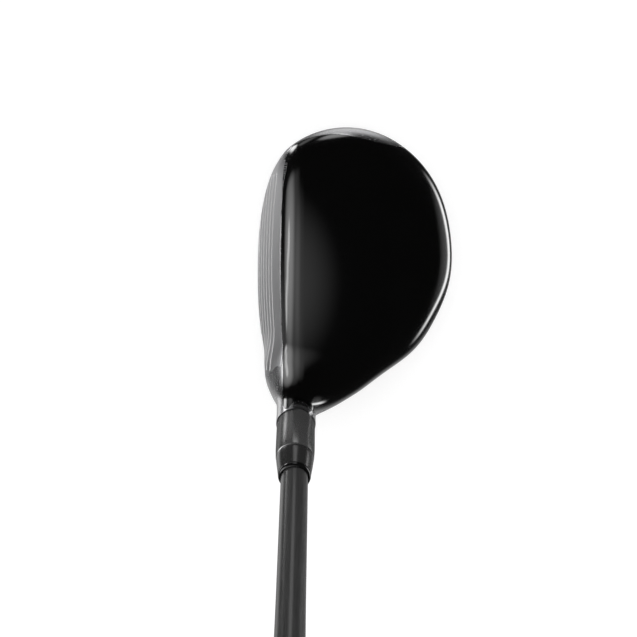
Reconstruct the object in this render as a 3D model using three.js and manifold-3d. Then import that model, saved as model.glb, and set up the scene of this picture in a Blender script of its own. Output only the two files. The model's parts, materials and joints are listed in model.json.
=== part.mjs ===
// Adjustable hybrid golf club, right-handed, standing on its sole in the address position.
// Millimetres, +Z up. The origin is the centre of the flat keel pad under the sole.
// The face looks towards -X, the toe points to +Y, and the shaft leans to -Y at the lie angle.

import * as THREE from 'three';
import { mergeVertices } from 'three/addons/utils/BufferGeometryUtils.js';
import Module from 'manifold-3d';

const wasm = await Module();
wasm.setup();

// ---- Driving dimensions ----

const LIE = THREE.MathUtils.degToRad(58.5);
const LOFT = THREE.MathUtils.degToRad(19);
const CLUB_LENGTH = 1029;

// The shaft line meets the ground here. Everything in the shaft group is placed by its
// distance from this point along the line.
const LINE_FOOT = new THREE.Vector3(-9.6, -32.9, 0);

// Head outer shape
const LEADING_EDGE_X = -25.6;
const LEADING_EDGE_Z = 3.5;
const FACE_CURVE = 280;
const FACE_MIDDLE_Z = 19;
const CROWN_TOP = { x: -12, y: 2, z: 38 };
const CROWN_CURVE = { x: 94, y: 128 };
const KEEL_HALF = { x: 8, y: 12 };
const SOLE_CURVE = { x: 118, y: 116 };
const EDGE_CROWN = 11;
const EDGE_SOLE = 9;
const EDGE_FACE = 2.6;
const EDGE_CROWN_FRONT = 5.6;
const EDGE_RISE = 8;
const SOFT_EDGE = 2.2;
const OUTLINE_CENTRE = { x: 8, y: 0 };
// Plan outline of the head as [bearing in degrees, distance] from its centre.
const OUTLINE = [
  [-174, 39.6], [-152, 42.5], [-135, 47], [-124, 48.5], [-112, 52], [-103, 54.2], [-94, 51.2],
  [-80.5, 45.6], [-65, 42.4], [-50.8, 40.8], [-34, 40.4], [-19.3, 41.1], [-5.8, 42.3], [9.3, 44],
  [29.4, 46.9], [39.5, 48.6], [52.6, 51], [66, 52.9], [77, 53.2], [90, 53.2], [98, 52.7],
  [110, 50.6], [123, 47], [135, 43.6], [149, 41], [165, 39.2],
];

// Head walls
const WALL = 1.9;
const CROWN_WALL = 1.3;
const FACE_WALL = 2.6;
const FACE_TO_CROWN = 2;
const LEDGE_TOP = 1.6;
const LEDGE_BOTTOM = 3;
const LEDGE_OUTSIDE = 2.5;
const LEDGE_INSIDE = 4.5;
const LEDGE_BELOW = 2;
const LEDGE_ABOVE = 3.5;
const GAP = 0.3;
const FIT = 0.1;
const CROWN_EDGE_Z = 13;
const BADGE_RECESS = 1;
const BADGE_WALL = 0.7;
const BALLAST_THICKNESS = 5.5;
const BALLAST = { x: 22, y: 27, halfX: 9, halfY: 7 };
// Facets around and over the head, for outer surfaces and for hidden ones
const FINE = [36, 24];
const COARSE = [22, 14];
const INSIDE_POINT = new THREE.Vector3(0, 0, 16);
// Proportions of the head that spread its facets evenly, and a length beyond every edge of it
const HEAD_SPREAD = new THREE.Vector3(36, 50, 19);
const FAR = 70;

// Hosel and its hardware, as distances along the shaft line
const NECK_RADIUS = 7.15;
const NECK_BLEND = 13;
const NECK_BOTTOM = 14;
const NECK_MOUTH = 46.8;
const NECK_REACH = 15;
const NECK_FLARE_START = 40;
const NECK_FLARE_CURVE = 110;
const HOSEL_BORE = 5.75;
const HOSEL_FLOOR = 22.5;
const SCREW_SEAT = 20;
const SCREW_PORT = 5;
const SCREW_HOLE = 2.9;
const TUBE_RADIUS = 7.6;
const NECK_CLEARANCE = 8.55;
const WINDOW = { start: 0.62, end: 1.66, inside: 4, outside: 11, depth: 2.6 };
const SLEEVE_BASE = 47.1;
const SLEEVE_TOP = 67;
const FERRULE_BASE = 67.3;
const FERRULE_TOP = 76.2;
const RING_TOP = 78.1;
const SHAFT_TIP = 37;
const SHAFT_BUTT = 1025.5;
const SHAFT_TIP_RADIUS = 4.7;
const SHAFT_BUTT_RADIUS = 7.6;
const SHAFT_WALL = 1.1;
const TAPER_START = 140;
const GRIP_MOUTH = 760;

// Sole weight
const WEIGHT_PLACE = { x: 29, y: 4 };
const WEIGHT_RADIUS = 6.5;
const WEIGHT_TOP = 4.4;
const CUP_RADIUS = 8.8;
const CUP_TOP = 8.4;
const SEAL_SEAT = 5.4;
const SEAL_RING = { radius: 5.6, height: 4.95, thickness: 0.36, sides: 6 };

// ---- Small helpers ----

function largestPiece(solid) {
  const pieces = solid.decompose();
  return pieces.sort((a, b) => b.volume() - a.volume())[0];
}

function solidOf(geometry) {
  const bare = geometry.clone();
  bare.deleteAttribute('normal');
  bare.deleteAttribute('uv');
  const merged = mergeVertices(bare, 1e-4);
  const solid = new wasm.Manifold(new wasm.Mesh({
    numProp: 3,
    vertProperties: new Float32Array(merged.attributes.position.array),
    triVerts: new Uint32Array(merged.index.array),
  }));
  return solid;
}

function geometryOf(solid) {
  const mesh = solid.getMesh();
  const geometry = new THREE.BufferGeometry();
  geometry.setAttribute('position', new THREE.BufferAttribute(mesh.vertProperties, 3));
  geometry.setIndex(new THREE.BufferAttribute(mesh.triVerts, 1));
  geometry.computeVertexNormals();
  return geometry;
}

function addMesh(group, name, geometry, color, roughness, metalness) {
  const material = new THREE.MeshStandardMaterial({ color, roughness, metalness });
  const mesh = new THREE.Mesh(geometry, material);
  mesh.name = name;
  group.add(mesh);
}

// A turned solid about +Z from [radius, height] corners, listed bottom to top on the outside
// and back down on the inside.
function turned(corners, segments = 24) {
  const points = corners.map(([radius, height]) => new THREE.Vector2(radius, height));
  const first = points[0];
  const last = points[points.length - 1];
  const onAxis = first.x === 0 && last.x === 0;
  if (!onAxis) points.push(first.clone());
  return new THREE.LatheGeometry(points, segments).rotateX(Math.PI / 2);
}

function rod(radius, bottom, top, segments = 24) {
  return turned([[0, bottom], [radius, bottom], [radius, top], [0, top]], segments);
}

function extruded(shape, bottom, top, curveSegments = 6) {
  const settings = { depth: top - bottom, bevelEnabled: false, curveSegments };
  return new THREE.ExtrudeGeometry(shape, settings).translate(0, 0, bottom);
}

// A closed star shape: radius swings between two values, with flat tops and flat valleys.
function splineShape(valley, top, count) {
  const points = [];
  for (let i = 0; i < count; i += 1) {
    const start = (i / count) * 2 * Math.PI;
    const step = (2 * Math.PI) / count;
    for (const [share, radius] of [[0, valley], [0.4, valley], [0.5, top], [0.9, top]]) {
      const angle = start + share * step;
      points.push(new THREE.Vector2(radius * Math.cos(angle), radius * Math.sin(angle)));
    }
  }
  return new THREE.Shape(points);
}

// A six-lobed driver socket.
function lobedShape(radius) {
  const points = [];
  const steps = 24;
  for (let i = 0; i < steps; i += 1) {
    const angle = (i / steps) * 2 * Math.PI;
    const reach = radius * (0.87 + 0.13 * Math.cos(6 * angle));
    points.push(new THREE.Vector2(reach * Math.cos(angle), reach * Math.sin(angle)));
  }
  return new THREE.Shape(points);
}

// ---- Head outer surface ----
// The head is where every field is negative. Each field is close to a distance in millimetres.

// The larger of two fields, with the edge between them rounded.
function roundMax(a, b, radius, power = 2) {
  const u = Math.max(a + radius, 0);
  const v = Math.max(b + radius, 0);
  return Math.min(-radius, Math.max(a, b)) + (u ** power + v ** power) ** (1 / power);
}

function roundMin(a, b, radius) {
  return -roundMax(-a, -b, radius);
}

function outlineDistance(bearing) {
  const turn = 360;
  const degrees = THREE.MathUtils.radToDeg(bearing);
  const count = OUTLINE.length;
  const at = (i) => {
    const lap = Math.floor(i / count);
    const [angle, distance] = OUTLINE[i - lap * count];
    return [angle + lap * turn, distance];
  };
  let i = -1;
  while (at(i + 1)[0] <= degrees) i += 1;
  const [[a0, r0], [a1, r1], [a2, r2], [a3, r3]] = [at(i - 1), at(i), at(i + 1), at(i + 2)];
  const span = a2 - a1;
  const t = (degrees - a1) / span;
  const slope1 = (r2 - r0) / (a2 - a0);
  const slope2 = (r3 - r1) / (a3 - a1);
  const keep = 2 * t ** 3 - 3 * t ** 2 + 1;
  const lead = t ** 3 - 2 * t ** 2 + t;
  const trail = t ** 3 - t ** 2;
  return keep * r1 + (1 - keep) * r2 + span * (lead * slope1 + trail * slope2);
}

function sideField(p) {
  const dx = p.x - OUTLINE_CENTRE.x;
  const dy = p.y - OUTLINE_CENTRE.y;
  return Math.hypot(dx, dy) - outlineDistance(Math.atan2(dy, dx));
}

function crownField(p) {
  const dx = p.x - CROWN_TOP.x;
  const dy = p.y - CROWN_TOP.y;
  const height = CROWN_TOP.z - dx ** 2 / (2 * CROWN_CURVE.x) - dy ** 2 / (2 * CROWN_CURVE.y);
  return (p.z - height) / Math.hypot(1, dx / CROWN_CURVE.x, dy / CROWN_CURVE.y);
}

function soleHeight(x, y) {
  const dx = Math.max(Math.abs(x) - KEEL_HALF.x, 0);
  const dy = Math.max(Math.abs(y) - KEEL_HALF.y, 0);
  return dx ** 2 / (2 * SOLE_CURVE.x) + dy ** 2 / (2 * SOLE_CURVE.y);
}

function faceField(p) {
  const rise = (p.z - LEADING_EDGE_Z) * Math.tan(LOFT);
  const bulge = p.y ** 2 / (2 * FACE_CURVE);
  const roll = (p.z - FACE_MIDDLE_Z) ** 2 / (2 * FACE_CURVE);
  return (LEADING_EDGE_X + rise + bulge + roll - p.x) * Math.cos(LOFT);
}

function bodyField(p) {
  const upper = roundMax(sideField(p), crownField(p), EDGE_CROWN, SOFT_EDGE);
  const around = roundMax(upper, soleHeight(p.x, p.y) - p.z, EDGE_SOLE, SOFT_EDGE);
  // The face's edge is rounder along the crown than along the sole.
  const rise = THREE.MathUtils.smoothstep(p.z, FACE_MIDDLE_Z, FACE_MIDDLE_Z + EDGE_RISE);
  return roundMax(around, faceField(p), THREE.MathUtils.lerp(EDGE_FACE, EDGE_CROWN_FRONT, rise));
}

const lineDirection = new THREE.Vector3(0, -Math.cos(LIE), Math.sin(LIE));

function neckField(p) {
  const fromFoot = p.clone().sub(LINE_FOOT);
  const along = fromFoot.dot(lineDirection);
  const across = fromFoot.addScaledVector(lineDirection, -along).length();
  const flare = Math.max(NECK_FLARE_START - along, 0) ** 2 / (2 * NECK_FLARE_CURVE);
  return roundMax(across - NECK_RADIUS - flare, NECK_BOTTOM - along, 6);
}

function headField(p) {
  return roundMin(bodyField(p), neckField(p), NECK_BLEND);
}

// Distance from a start point along a direction to where the field reaches a value.
function reachTo(field, start, direction, value, limit) {
  let near = 0;
  let far = limit;
  for (let i = 0; i < 30; i += 1) {
    const middle = (near + far) / 2;
    const inside = field(start.clone().addScaledVector(direction, middle)) < value;
    if (inside) near = middle;
    else far = middle;
  }
  return near;
}

// The head without its neck, moved inwards by a depth.
function bodySolid(depth, segments, rings) {
  const ball = new THREE.SphereGeometry(1, segments, rings).rotateX(Math.PI / 2);
  const places = ball.attributes.position;
  const point = new THREE.Vector3();
  for (let i = 0; i < places.count; i += 1) {
    point.fromBufferAttribute(places, i).multiply(HEAD_SPREAD).normalize();
    const reach = reachTo(bodyField, INSIDE_POINT, point, -depth, FAR);
    point.multiplyScalar(reach).add(INSIDE_POINT);
    places.setXYZ(i, point.x, point.y, point.z);
  }
  return solidOf(ball);
}

// The neck with its blend into the head, cast outwards from the shaft line.
function neckSolid(limit, segments, rings) {
  const bottom = NECK_BOTTOM + 8;
  const height = NECK_MOUTH - bottom;
  const tube = new THREE.CylinderGeometry(1, 1, height, segments, rings);
  tube.rotateX(Math.PI / 2).translate(0, 0, bottom + height / 2);
  const places = tube.attributes.position;
  const toWorld = lineMatrix();
  for (let i = 0; i < places.count; i += 1) {
    const local = new THREE.Vector3().fromBufferAttribute(places, i);
    const across = Math.hypot(local.x, local.y);
    const start = new THREE.Vector3(0, 0, local.z).applyMatrix4(toWorld);
    if (across > 0.5) {
      const direction = new THREE.Vector3(local.x, local.y, 0).transformDirection(toWorld);
      const reach = reachTo(headField, start, direction, 0, limit);
      start.addScaledVector(direction, reach);
    }
    places.setXYZ(i, start.x, start.y, start.z);
  }
  return solidOf(tube);
}

// ---- Placement of turned groups ----

function lineMatrix() {
  const tilt = new THREE.Matrix4().makeRotationX(Math.PI / 2 - LIE);
  return tilt.setPosition(LINE_FOOT);
}

function weightMatrix() {
  const slope = Math.atan((WEIGHT_PLACE.x - KEEL_HALF.x) / SOLE_CURVE.x);
  const lean = new THREE.Matrix4().makeRotationY(-slope);
  return lean.setPosition(WEIGHT_PLACE.x, WEIGHT_PLACE.y, soleHeight(WEIGHT_PLACE.x, WEIGHT_PLACE.y));
}

function onLine(geometry) {
  return solidOf(geometry.applyMatrix4(lineMatrix()));
}

function rodOnLine(radius, bottom, top) {
  return onLine(rod(radius, bottom, top));
}

function onWeight(geometry) {
  return solidOf(geometry.applyMatrix4(weightMatrix()));
}

// ---- Cutting regions of the head ----

// Plan region of the crown, grown or shrunk by a margin. Its front edge runs just behind the
// face, and its toe edge keeps a strip of the casting in view. Elsewhere it passes the outline.
const CROWN_FRONT = [
  [-13.4, -52], [-14.6, -45], [-14.5, -39], [-14.8, -30], [-15.1, -18], [-15.35, 2], [-15.05, 18],
  [-14.7, 32], [-14.1, 38.5], [-12.9, 42.4], [-10.7, 45.4], [-7.4, 47.4], [-2.6, 48.7],
  [4.4, 49.4], [11, 48.7], [16.5, 47.6], [21.7, 46.4], [26, 45.8],
];

function crownRegion(margin, bottom) {
  const knots = CROWN_FRONT.map(([x, y]) => new THREE.Vector3(x, y, 0));
  const front = new THREE.CatmullRomCurve3(knots);
  const edge = front.getPoints(30);
  const points = edge.map((p, i) => {
    const tangent = front.getTangent(i / (edge.length - 1));
    return new THREE.Vector2(p.x - tangent.y * margin, p.y + tangent.x * margin);
  });
  const heelEnd = CROWN_FRONT[0];
  const backEnd = CROWN_FRONT[CROWN_FRONT.length - 1];
  points.push(new THREE.Vector2(FAR, backEnd[1] + margin));
  points.push(new THREE.Vector2(FAR, -FAR));
  points.push(new THREE.Vector2(heelEnd[0] - margin, -FAR));
  return solidOf(extruded(new THREE.Shape(points), bottom, FAR));
}

// Region of the face insert: a rounded outline carried along the face normal.
const FACE_CORNERS = [[-46.5, 7.5], [-35, 30.5], [36, 31], [42.5, 23], [42, 13], [33, 6.5]];
const FACE_CORNER_INSET = 5;
const FACE_CUT = { outwards: -12, inwards: 7 };

function faceRegion(margin) {
  const centre = new THREE.Vector2(2, FACE_MIDDLE_Z);
  const path = new THREE.CatmullRomCurve3(
    roundedCorners(FACE_CORNERS, FACE_CORNER_INSET).map(([y, z]) => {
      const point = new THREE.Vector2(y, z).sub(centre);
      point.setLength(point.length() + margin).add(centre);
      return new THREE.Vector3(point.x, point.y / Math.cos(LOFT), 0);
    }), true, 'catmullrom', 0,
  );
  const outline = path.getPoints(36).slice(0, -1).map((p) => new THREE.Vector2(p.x, p.y));
  const cut = extruded(new THREE.Shape(outline), FACE_CUT.outwards, FACE_CUT.inwards);
  return solidOf(onFace(cut));
}

// Two points either side of each corner, so that a curve through them turns gently.
function roundedCorners(corners, inset) {
  const points = [];
  corners.forEach((corner, i) => {
    const before = corners[(i + corners.length - 1) % corners.length];
    const after = corners[(i + 1) % corners.length];
    for (const other of [before, after]) {
      const length = Math.hypot(other[0] - corner[0], other[1] - corner[1]);
      const share = Math.min(inset / length, 0.45);
      points.push([0, 1].map((k) => corner[k] + (other[k] - corner[k]) * share));
    }
  });
  return points;
}

// Local X runs from heel to toe, local Y up the face, local Z into the head.
function onFace(geometry) {
  const across = new THREE.Vector3(0, 1, 0);
  const up = new THREE.Vector3(Math.sin(LOFT), 0, Math.cos(LOFT));
  const inward = new THREE.Vector3().crossVectors(across, up);
  const place = new THREE.Matrix4().makeBasis(across, up, inward);
  place.setPosition(LEADING_EDGE_X - LEADING_EDGE_Z * Math.tan(LOFT), 0, 0);
  return geometry.applyMatrix4(place);
}

// A shield-shaped badge between the keel pad and the leading edge on the toe side.
function badgeRegion(margin) {
  const shape = new THREE.Shape();
  const [left, right, low, high] = [-14 - margin, 9 + margin, 20 - margin, 38 + margin];
  const middle = (left + right) / 2;
  shape.moveTo(left, low);
  shape.quadraticCurveTo(middle, low - 3, right, low);
  shape.quadraticCurveTo(right + 1, (low + high) / 2, middle, high);
  shape.quadraticCurveTo(left - 1, (low + high) / 2, left, low);
  return solidOf(extruded(shape, -5, 12));
}

// ---- Head ----

const head = new THREE.Group();
const outer = bodySolid(0, ...FINE).add(neckSolid(NECK_REACH, 20, 6));
const inner = bodySolid(WALL, ...COARSE);
const lineClearance = rodOnLine(NECK_CLEARANCE, 0, FAR + 10);

function makeCrown() {
  const under = bodySolid(CROWN_WALL, ...COARSE);
  const region = crownRegion(0, CROWN_EDGE_Z);
  return outer.subtract(under).intersect(region).subtract(lineClearance);
}

// The ledge under the crown's edge that the crown is bonded on.
function makeLedge() {
  const top = bodySolid(LEDGE_TOP, ...COARSE);
  const bottom = bodySolid(LEDGE_BOTTOM, ...COARSE);
  const around = crownRegion(LEDGE_OUTSIDE, CROWN_EDGE_Z - LEDGE_BELOW);
  const within = crownRegion(-LEDGE_INSIDE, CROWN_EDGE_Z + LEDGE_ABOVE);
  return top.subtract(bottom).intersect(around.subtract(within));
}

function makeFace() {
  const plate = outer.intersect(faceRegion(0)).subtract(bodySolid(FACE_WALL, ...COARSE));
  return largestPiece(plate.subtract(crownRegion(FACE_TO_CROWN, 0)));
}

function makeBody() {
  const neckGuard = rodOnLine(NECK_CLEARANCE - GAP, 0, FAR + 10);
  const crownCut = crownRegion(GAP, CROWN_EDGE_Z - GAP).subtract(neckGuard);
  const tube = rodOnLine(TUBE_RADIUS, -10, NECK_MOUTH - 3).intersect(outer);
  const cup = onWeight(rod(CUP_RADIUS, -6, CUP_TOP)).intersect(outer);
  const recess = badgeRegion(GAP).subtract(bodySolid(BADGE_RECESS, ...FINE));
  const window = onLine(sleeveWindow());
  let body = outer.subtract(inner).subtract(crownCut);
  body = body.add(makeLedge()).add(tube).add(cup);
  body = body.subtract(faceRegion(GAP)).subtract(recess).subtract(window);
  body = body.subtract(rodOnLine(HOSEL_BORE, HOSEL_FLOOR, FAR));
  body = body.subtract(rodOnLine(SCREW_HOLE, SCREW_SEAT - 3, HOSEL_FLOOR + 1));
  body = body.subtract(rodOnLine(SCREW_PORT, -12, SCREW_SEAT));
  return largestPiece(body.subtract(onWeight(weightPort())));
}

// A setting window in the neck rim, through which the sleeve's marks are read.
function sleeveWindow() {
  const shape = new THREE.Shape();
  const { start, end, inside, outside, depth } = WINDOW;
  shape.absarc(0, 0, outside, start, end, false);
  shape.absarc(0, 0, inside, end, start, true);
  return extruded(shape, NECK_MOUTH - depth, NECK_MOUTH + depth);
}

// The threaded bore of the sole weight, with a step for its seal.
function weightPort() {
  const bore = WEIGHT_RADIUS + 0.12;
  const step = WEIGHT_RADIUS - 1.6;
  return turned([
    [0, -8], [bore, -8], [bore, SEAL_SEAT], [step, SEAL_SEAT], [step, SEAL_SEAT + 1],
    [0, SEAL_SEAT + 1],
  ]);
}

// A tungsten pad that follows the inside of the sole, behind the face on the toe side.
function makeBallast() {
  const low = bodySolid(WALL + GAP, ...COARSE);
  const high = bodySolid(WALL + BALLAST_THICKNESS, ...COARSE);
  const shape = new THREE.Shape();
  const { x, y, halfX, halfY } = BALLAST;
  shape.absellipse(x, y, halfX, halfY, 0, 2 * Math.PI, false, 0);
  return low.subtract(high).intersect(solidOf(extruded(shape, 0, 12, 20)));
}

function makeBadge() {
  return outer.intersect(badgeRegion(0)).subtract(bodySolid(BADGE_WALL, ...FINE));
}

addMesh(head, 'head_body', geometryOf(makeBody()), 0xb4b5b6, 0.35, 0.9);
addMesh(head, 'face_plate', geometryOf(makeFace()), 0xbdbebf, 0.4, 0.9);
addMesh(head, 'crown_shell', geometryOf(makeCrown()), 0x08090a, 0.12, 0.1);
addMesh(head, 'ballast_pad', geometryOf(makeBallast()), 0x6d6f70, 0.5, 0.9);
addMesh(head, 'sole_badge', geometryOf(makeBadge()), 0x141517, 0.3, 0.4);

// ---- Hosel hardware, turned onto the shaft line ----

const line = new THREE.Group();
line.applyMatrix4(lineMatrix());

const SPLINES = 12;
const INSERT = { radius: 5.65, valley: 4.5, top: 5, base: 24.6, height: 5.6 };
const SLEEVE = { stem: 5.55, barrel: 6.9, lip: 6.35, valley: 4.3, spline: 4.85, foot: 24.4 };
const SPLINE_TOP = 30.6;
const SCREW = { tip: 31.4, shank: 2.5, under: 18.2, face: 14.6, head: 4, socket: 2.5, depth: 2.3 };
const RETAINER = { inside: 2.75, outside: 5.6, base: 22.7, top: 23.9 };
const WASHER = { inside: 2.7, outside: 4.3, base: 18.5, shoulder: 19.3, top: 19.8 };

// The ring in the hosel whose splines index the sleeve.
function makeInsert() {
  const { radius, valley, top, base, height } = INSERT;
  const ring = solidOf(rod(radius, base, base + height));
  const bore = extruded(splineShape(valley, top, SPLINES), base - 1, base + height + 1);
  return ring.subtract(solidOf(bore));
}

function makeRetainer() {
  const { inside, outside, base, top } = RETAINER;
  return turned([[inside, base], [outside, base], [outside, top], [inside, top]]);
}

function makeWasher() {
  const { inside, outside, base, shoulder, top } = WASHER;
  return turned([
    [inside, base], [outside, base], [outside, shoulder], [outside - 0.4, top], [inside, top],
  ]);
}

// The sleeve: splined foot, stem in the hosel, and the barrel above the neck.
function makeSleeve() {
  const { stem, barrel, lip, valley, spline, foot } = SLEEVE;
  const shape = splineShape(valley, spline, SPLINES);
  const splines = solidOf(extruded(shape, foot, SPLINE_TOP + 0.4));
  const body = solidOf(turned([
    [0, SPLINE_TOP], [stem, SPLINE_TOP], [stem, SLEEVE_BASE], [barrel - 0.4, SLEEVE_BASE],
    [barrel, SLEEVE_BASE + 0.4], [barrel, SLEEVE_TOP - 4], [barrel - 0.18, SLEEVE_TOP - 0.5],
    [lip, SLEEVE_TOP], [0, SLEEVE_TOP],
  ]));
  const socket = solidOf(rod(SHAFT_TIP_RADIUS + FIT, SHAFT_TIP - GAP, SLEEVE_TOP + 2));
  const thread = solidOf(rod(SCREW.shank + 0.15, foot - 4, SHAFT_TIP + 1));
  return splines.add(body).subtract(socket).subtract(thread);
}

function makeScrew() {
  const { tip, shank, under, face, head: headRadius, socket, depth } = SCREW;
  const blank = solidOf(turned([
    [0, face], [headRadius - 0.4, face], [headRadius, face + 0.4], [headRadius, under],
    [shank, under], [shank, tip - 0.5], [shank - 0.5, tip], [0, tip],
  ]));
  return blank.subtract(solidOf(extruded(lobedShape(socket), face - 2, face + depth)));
}

addMesh(line, 'hosel_insert', geometryOf(makeInsert()), 0x9a9c9e, 0.4, 0.9);
addMesh(line, 'screw_retainer', makeRetainer(), 0x1b1b1c, 0.6, 0);
addMesh(line, 'screw_washer', makeWasher(), 0x8a8b8d, 0.35, 0.9);
addMesh(line, 'retaining_screw', geometryOf(makeScrew()), 0x2a2b2d, 0.4, 0.8);

// ---- Shaft assembly ----

function shaftRadius(along) {
  const share = Math.max(along - TAPER_START, 0) / (SHAFT_BUTT - TAPER_START);
  return SHAFT_TIP_RADIUS + (SHAFT_BUTT_RADIUS - SHAFT_TIP_RADIUS) * share;
}

// A tube that follows the shaft's taper, between two offsets from the shaft's surface.
function alongShaft(stations, outside, inside) {
  const out = stations.map((s) => [shaftRadius(s) + outside(s), s]);
  const back = [...stations].reverse().map((s) => [shaftRadius(s) + inside(s), s]);
  return turned([...out, ...back]);
}

// Wall of the grip: thin at its mouth, thicker up the shaft, with a swell at its end.
function gripThickness(along) {
  const share = (along - GRIP_MOUTH) / (SHAFT_BUTT - GRIP_MOUTH);
  return 1.6 + 3.1 * share + 0.9 * Math.max(share - 0.85, 0) / 0.15;
}

const FERRULE_BORE = 4.85;
const TAPE_THICKNESS = 0.3;
const PLUG = { radius: 3.4, base: SHAFT_TIP + 0.5, top: SHAFT_TIP + 13 };
const CAP = { plug: 6.2, plugDepth: 11, radius: 13.4, crown: 11, vent: 1.3 };

function makeFerrule() {
  return turned([
    [FERRULE_BORE, FERRULE_BASE], [6.3, FERRULE_BASE], [6.62, FERRULE_BASE + 0.5],
    [5.75, FERRULE_TOP], [FERRULE_BORE, FERRULE_TOP],
  ]);
}

function makeFerruleRing() {
  const base = FERRULE_TOP + GAP;
  return turned([
    [FERRULE_BORE, base], [5.6, base], [5.62, RING_TOP - 0.5], [5.3, RING_TOP],
    [FERRULE_BORE, RING_TOP],
  ]);
}

function makeShaft() {
  const stations = [SHAFT_TIP, TAPER_START, 400, GRIP_MOUTH, SHAFT_BUTT];
  return alongShaft(stations, () => 0, () => -SHAFT_WALL);
}

function makePlug() {
  const { radius, base, top } = PLUG;
  return turned([[0, base], [radius, base], [radius, top - 1], [radius - 0.4, top], [0, top]]);
}

function makeTape() {
  const stations = [GRIP_MOUTH + 4, 900, SHAFT_BUTT - 1];
  return alongShaft(stations, () => FIT + TAPE_THICKNESS, () => FIT);
}

function makeGrip() {
  const stations = [GRIP_MOUTH, GRIP_MOUTH + 2, 850, 940, 985, SHAFT_BUTT];
  return alongShaft(stations, gripThickness, () => 2 * FIT + TAPE_THICKNESS);
}

// The cap that closes the grip's end, with its plug in the shaft and a vent through it.
function makeCap() {
  const { plug, plugDepth, radius, crown, vent } = CAP;
  const base = SHAFT_BUTT + GAP;
  const foot = base - plugDepth;
  const blank = solidOf(turned([
    [0, foot], [plug - 0.3, foot], [plug, base], [radius - 0.2, base], [radius, base + 1.2],
    [radius - 1, CLUB_LENGTH - 0.6], [crown, CLUB_LENGTH], [0, CLUB_LENGTH],
  ]));
  return blank.subtract(solidOf(rod(vent, foot - 5, CLUB_LENGTH + 5, 16)));
}

addMesh(line, 'adapter_sleeve', geometryOf(makeSleeve()), 0x4c4d4f, 0.35, 0.8);
addMesh(line, 'ferrule', makeFerrule(), 0x1c1c1d, 0.2, 0);
addMesh(line, 'ferrule_ring', makeFerruleRing(), 0x060606, 0.15, 0);
addMesh(line, 'shaft', makeShaft(), 0x2b2c2e, 0.3, 0.1);
addMesh(line, 'swing_weight', makePlug(), 0x9b9480, 0.4, 0.9);
addMesh(line, 'grip_tape', makeTape(), 0xd8cfb4, 0.9, 0);
addMesh(line, 'grip', makeGrip(), 0x1d1d1e, 0.85, 0);
addMesh(line, 'grip_cap', geometryOf(makeCap()), 0x1d1d1e, 0.7, 0);
head.add(line);

// ---- Sole weight, turned onto the sole ----

const weight = new THREE.Group();
weight.applyMatrix4(weightMatrix());

function makeWeight() {
  const blank = solidOf(turned([
    [0, 0.2], [WEIGHT_RADIUS - 0.5, 0.2], [WEIGHT_RADIUS, 0.7], [WEIGHT_RADIUS, WEIGHT_TOP - 0.2],
    [WEIGHT_RADIUS - 0.3, WEIGHT_TOP], [0, WEIGHT_TOP],
  ]));
  return blank.subtract(solidOf(extruded(lobedShape(3), -2, 3)));
}

// A ring of round section between the weight and the floor of its port.
function makeSeal() {
  const { radius, height, thickness, sides } = SEAL_RING;
  const middle = new THREE.Vector2(radius, height);
  const points = [];
  for (let i = 0; i <= sides; i += 1) {
    const angle = (i / sides) * 2 * Math.PI;
    const off = new THREE.Vector2(Math.cos(angle), Math.sin(angle)).multiplyScalar(thickness);
    points.push(off.add(middle));
  }
  return new THREE.LatheGeometry(points, 24).rotateX(Math.PI / 2);
}

addMesh(weight, 'sole_weight', geometryOf(makeWeight()), 0x8d8f91, 0.35, 0.9);
addMesh(weight, 'weight_seal', makeSeal(), 0x101010, 0.7, 0);
head.add(weight);

export default head;
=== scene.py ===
"""An adjustable hybrid golf club at address on a pale studio floor.

Shapes are worked out in millimetres in the row frame: the face looks towards -X, the toe
points to +Y, and the shaft rises towards -Y. Meshes are written in metres.
"""
import json
import math

import bpy
import numpy as np
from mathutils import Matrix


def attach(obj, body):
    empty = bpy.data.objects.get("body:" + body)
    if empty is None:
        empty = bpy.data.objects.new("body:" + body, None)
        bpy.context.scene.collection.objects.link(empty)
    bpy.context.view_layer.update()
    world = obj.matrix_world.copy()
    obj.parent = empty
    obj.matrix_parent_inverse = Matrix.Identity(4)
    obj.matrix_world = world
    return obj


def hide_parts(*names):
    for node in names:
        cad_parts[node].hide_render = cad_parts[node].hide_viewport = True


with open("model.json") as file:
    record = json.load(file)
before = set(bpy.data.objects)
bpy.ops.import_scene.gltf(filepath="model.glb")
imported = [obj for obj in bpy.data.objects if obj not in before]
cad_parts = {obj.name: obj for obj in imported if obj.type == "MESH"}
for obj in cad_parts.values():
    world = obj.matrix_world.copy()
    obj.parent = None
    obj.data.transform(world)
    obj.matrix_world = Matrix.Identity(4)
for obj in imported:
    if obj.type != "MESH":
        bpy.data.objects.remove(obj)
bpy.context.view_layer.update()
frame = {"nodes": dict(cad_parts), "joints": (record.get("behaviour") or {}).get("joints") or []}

MM = 0.001
JOINTS = {joint["name"]: joint for joint in frame["joints"]}


def in_mm(values):
    return np.array([float(v) for v in values]) / MM


# ---- Driving dimensions, repeated from the club's design where the frame can't give them ----

LINE_FOOT = in_mm(JOINTS["screw_turn"]["pos_m"])
LINE = np.array([float(v) for v in JOINTS["shaft_pull"]["axis"]])
WEIGHT_FOOT = in_mm(JOINTS["weight_turn"]["pos_m"])
WEIGHT_OUT = np.array([float(v) for v in JOINTS["weight_turn"]["axis"]])

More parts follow.
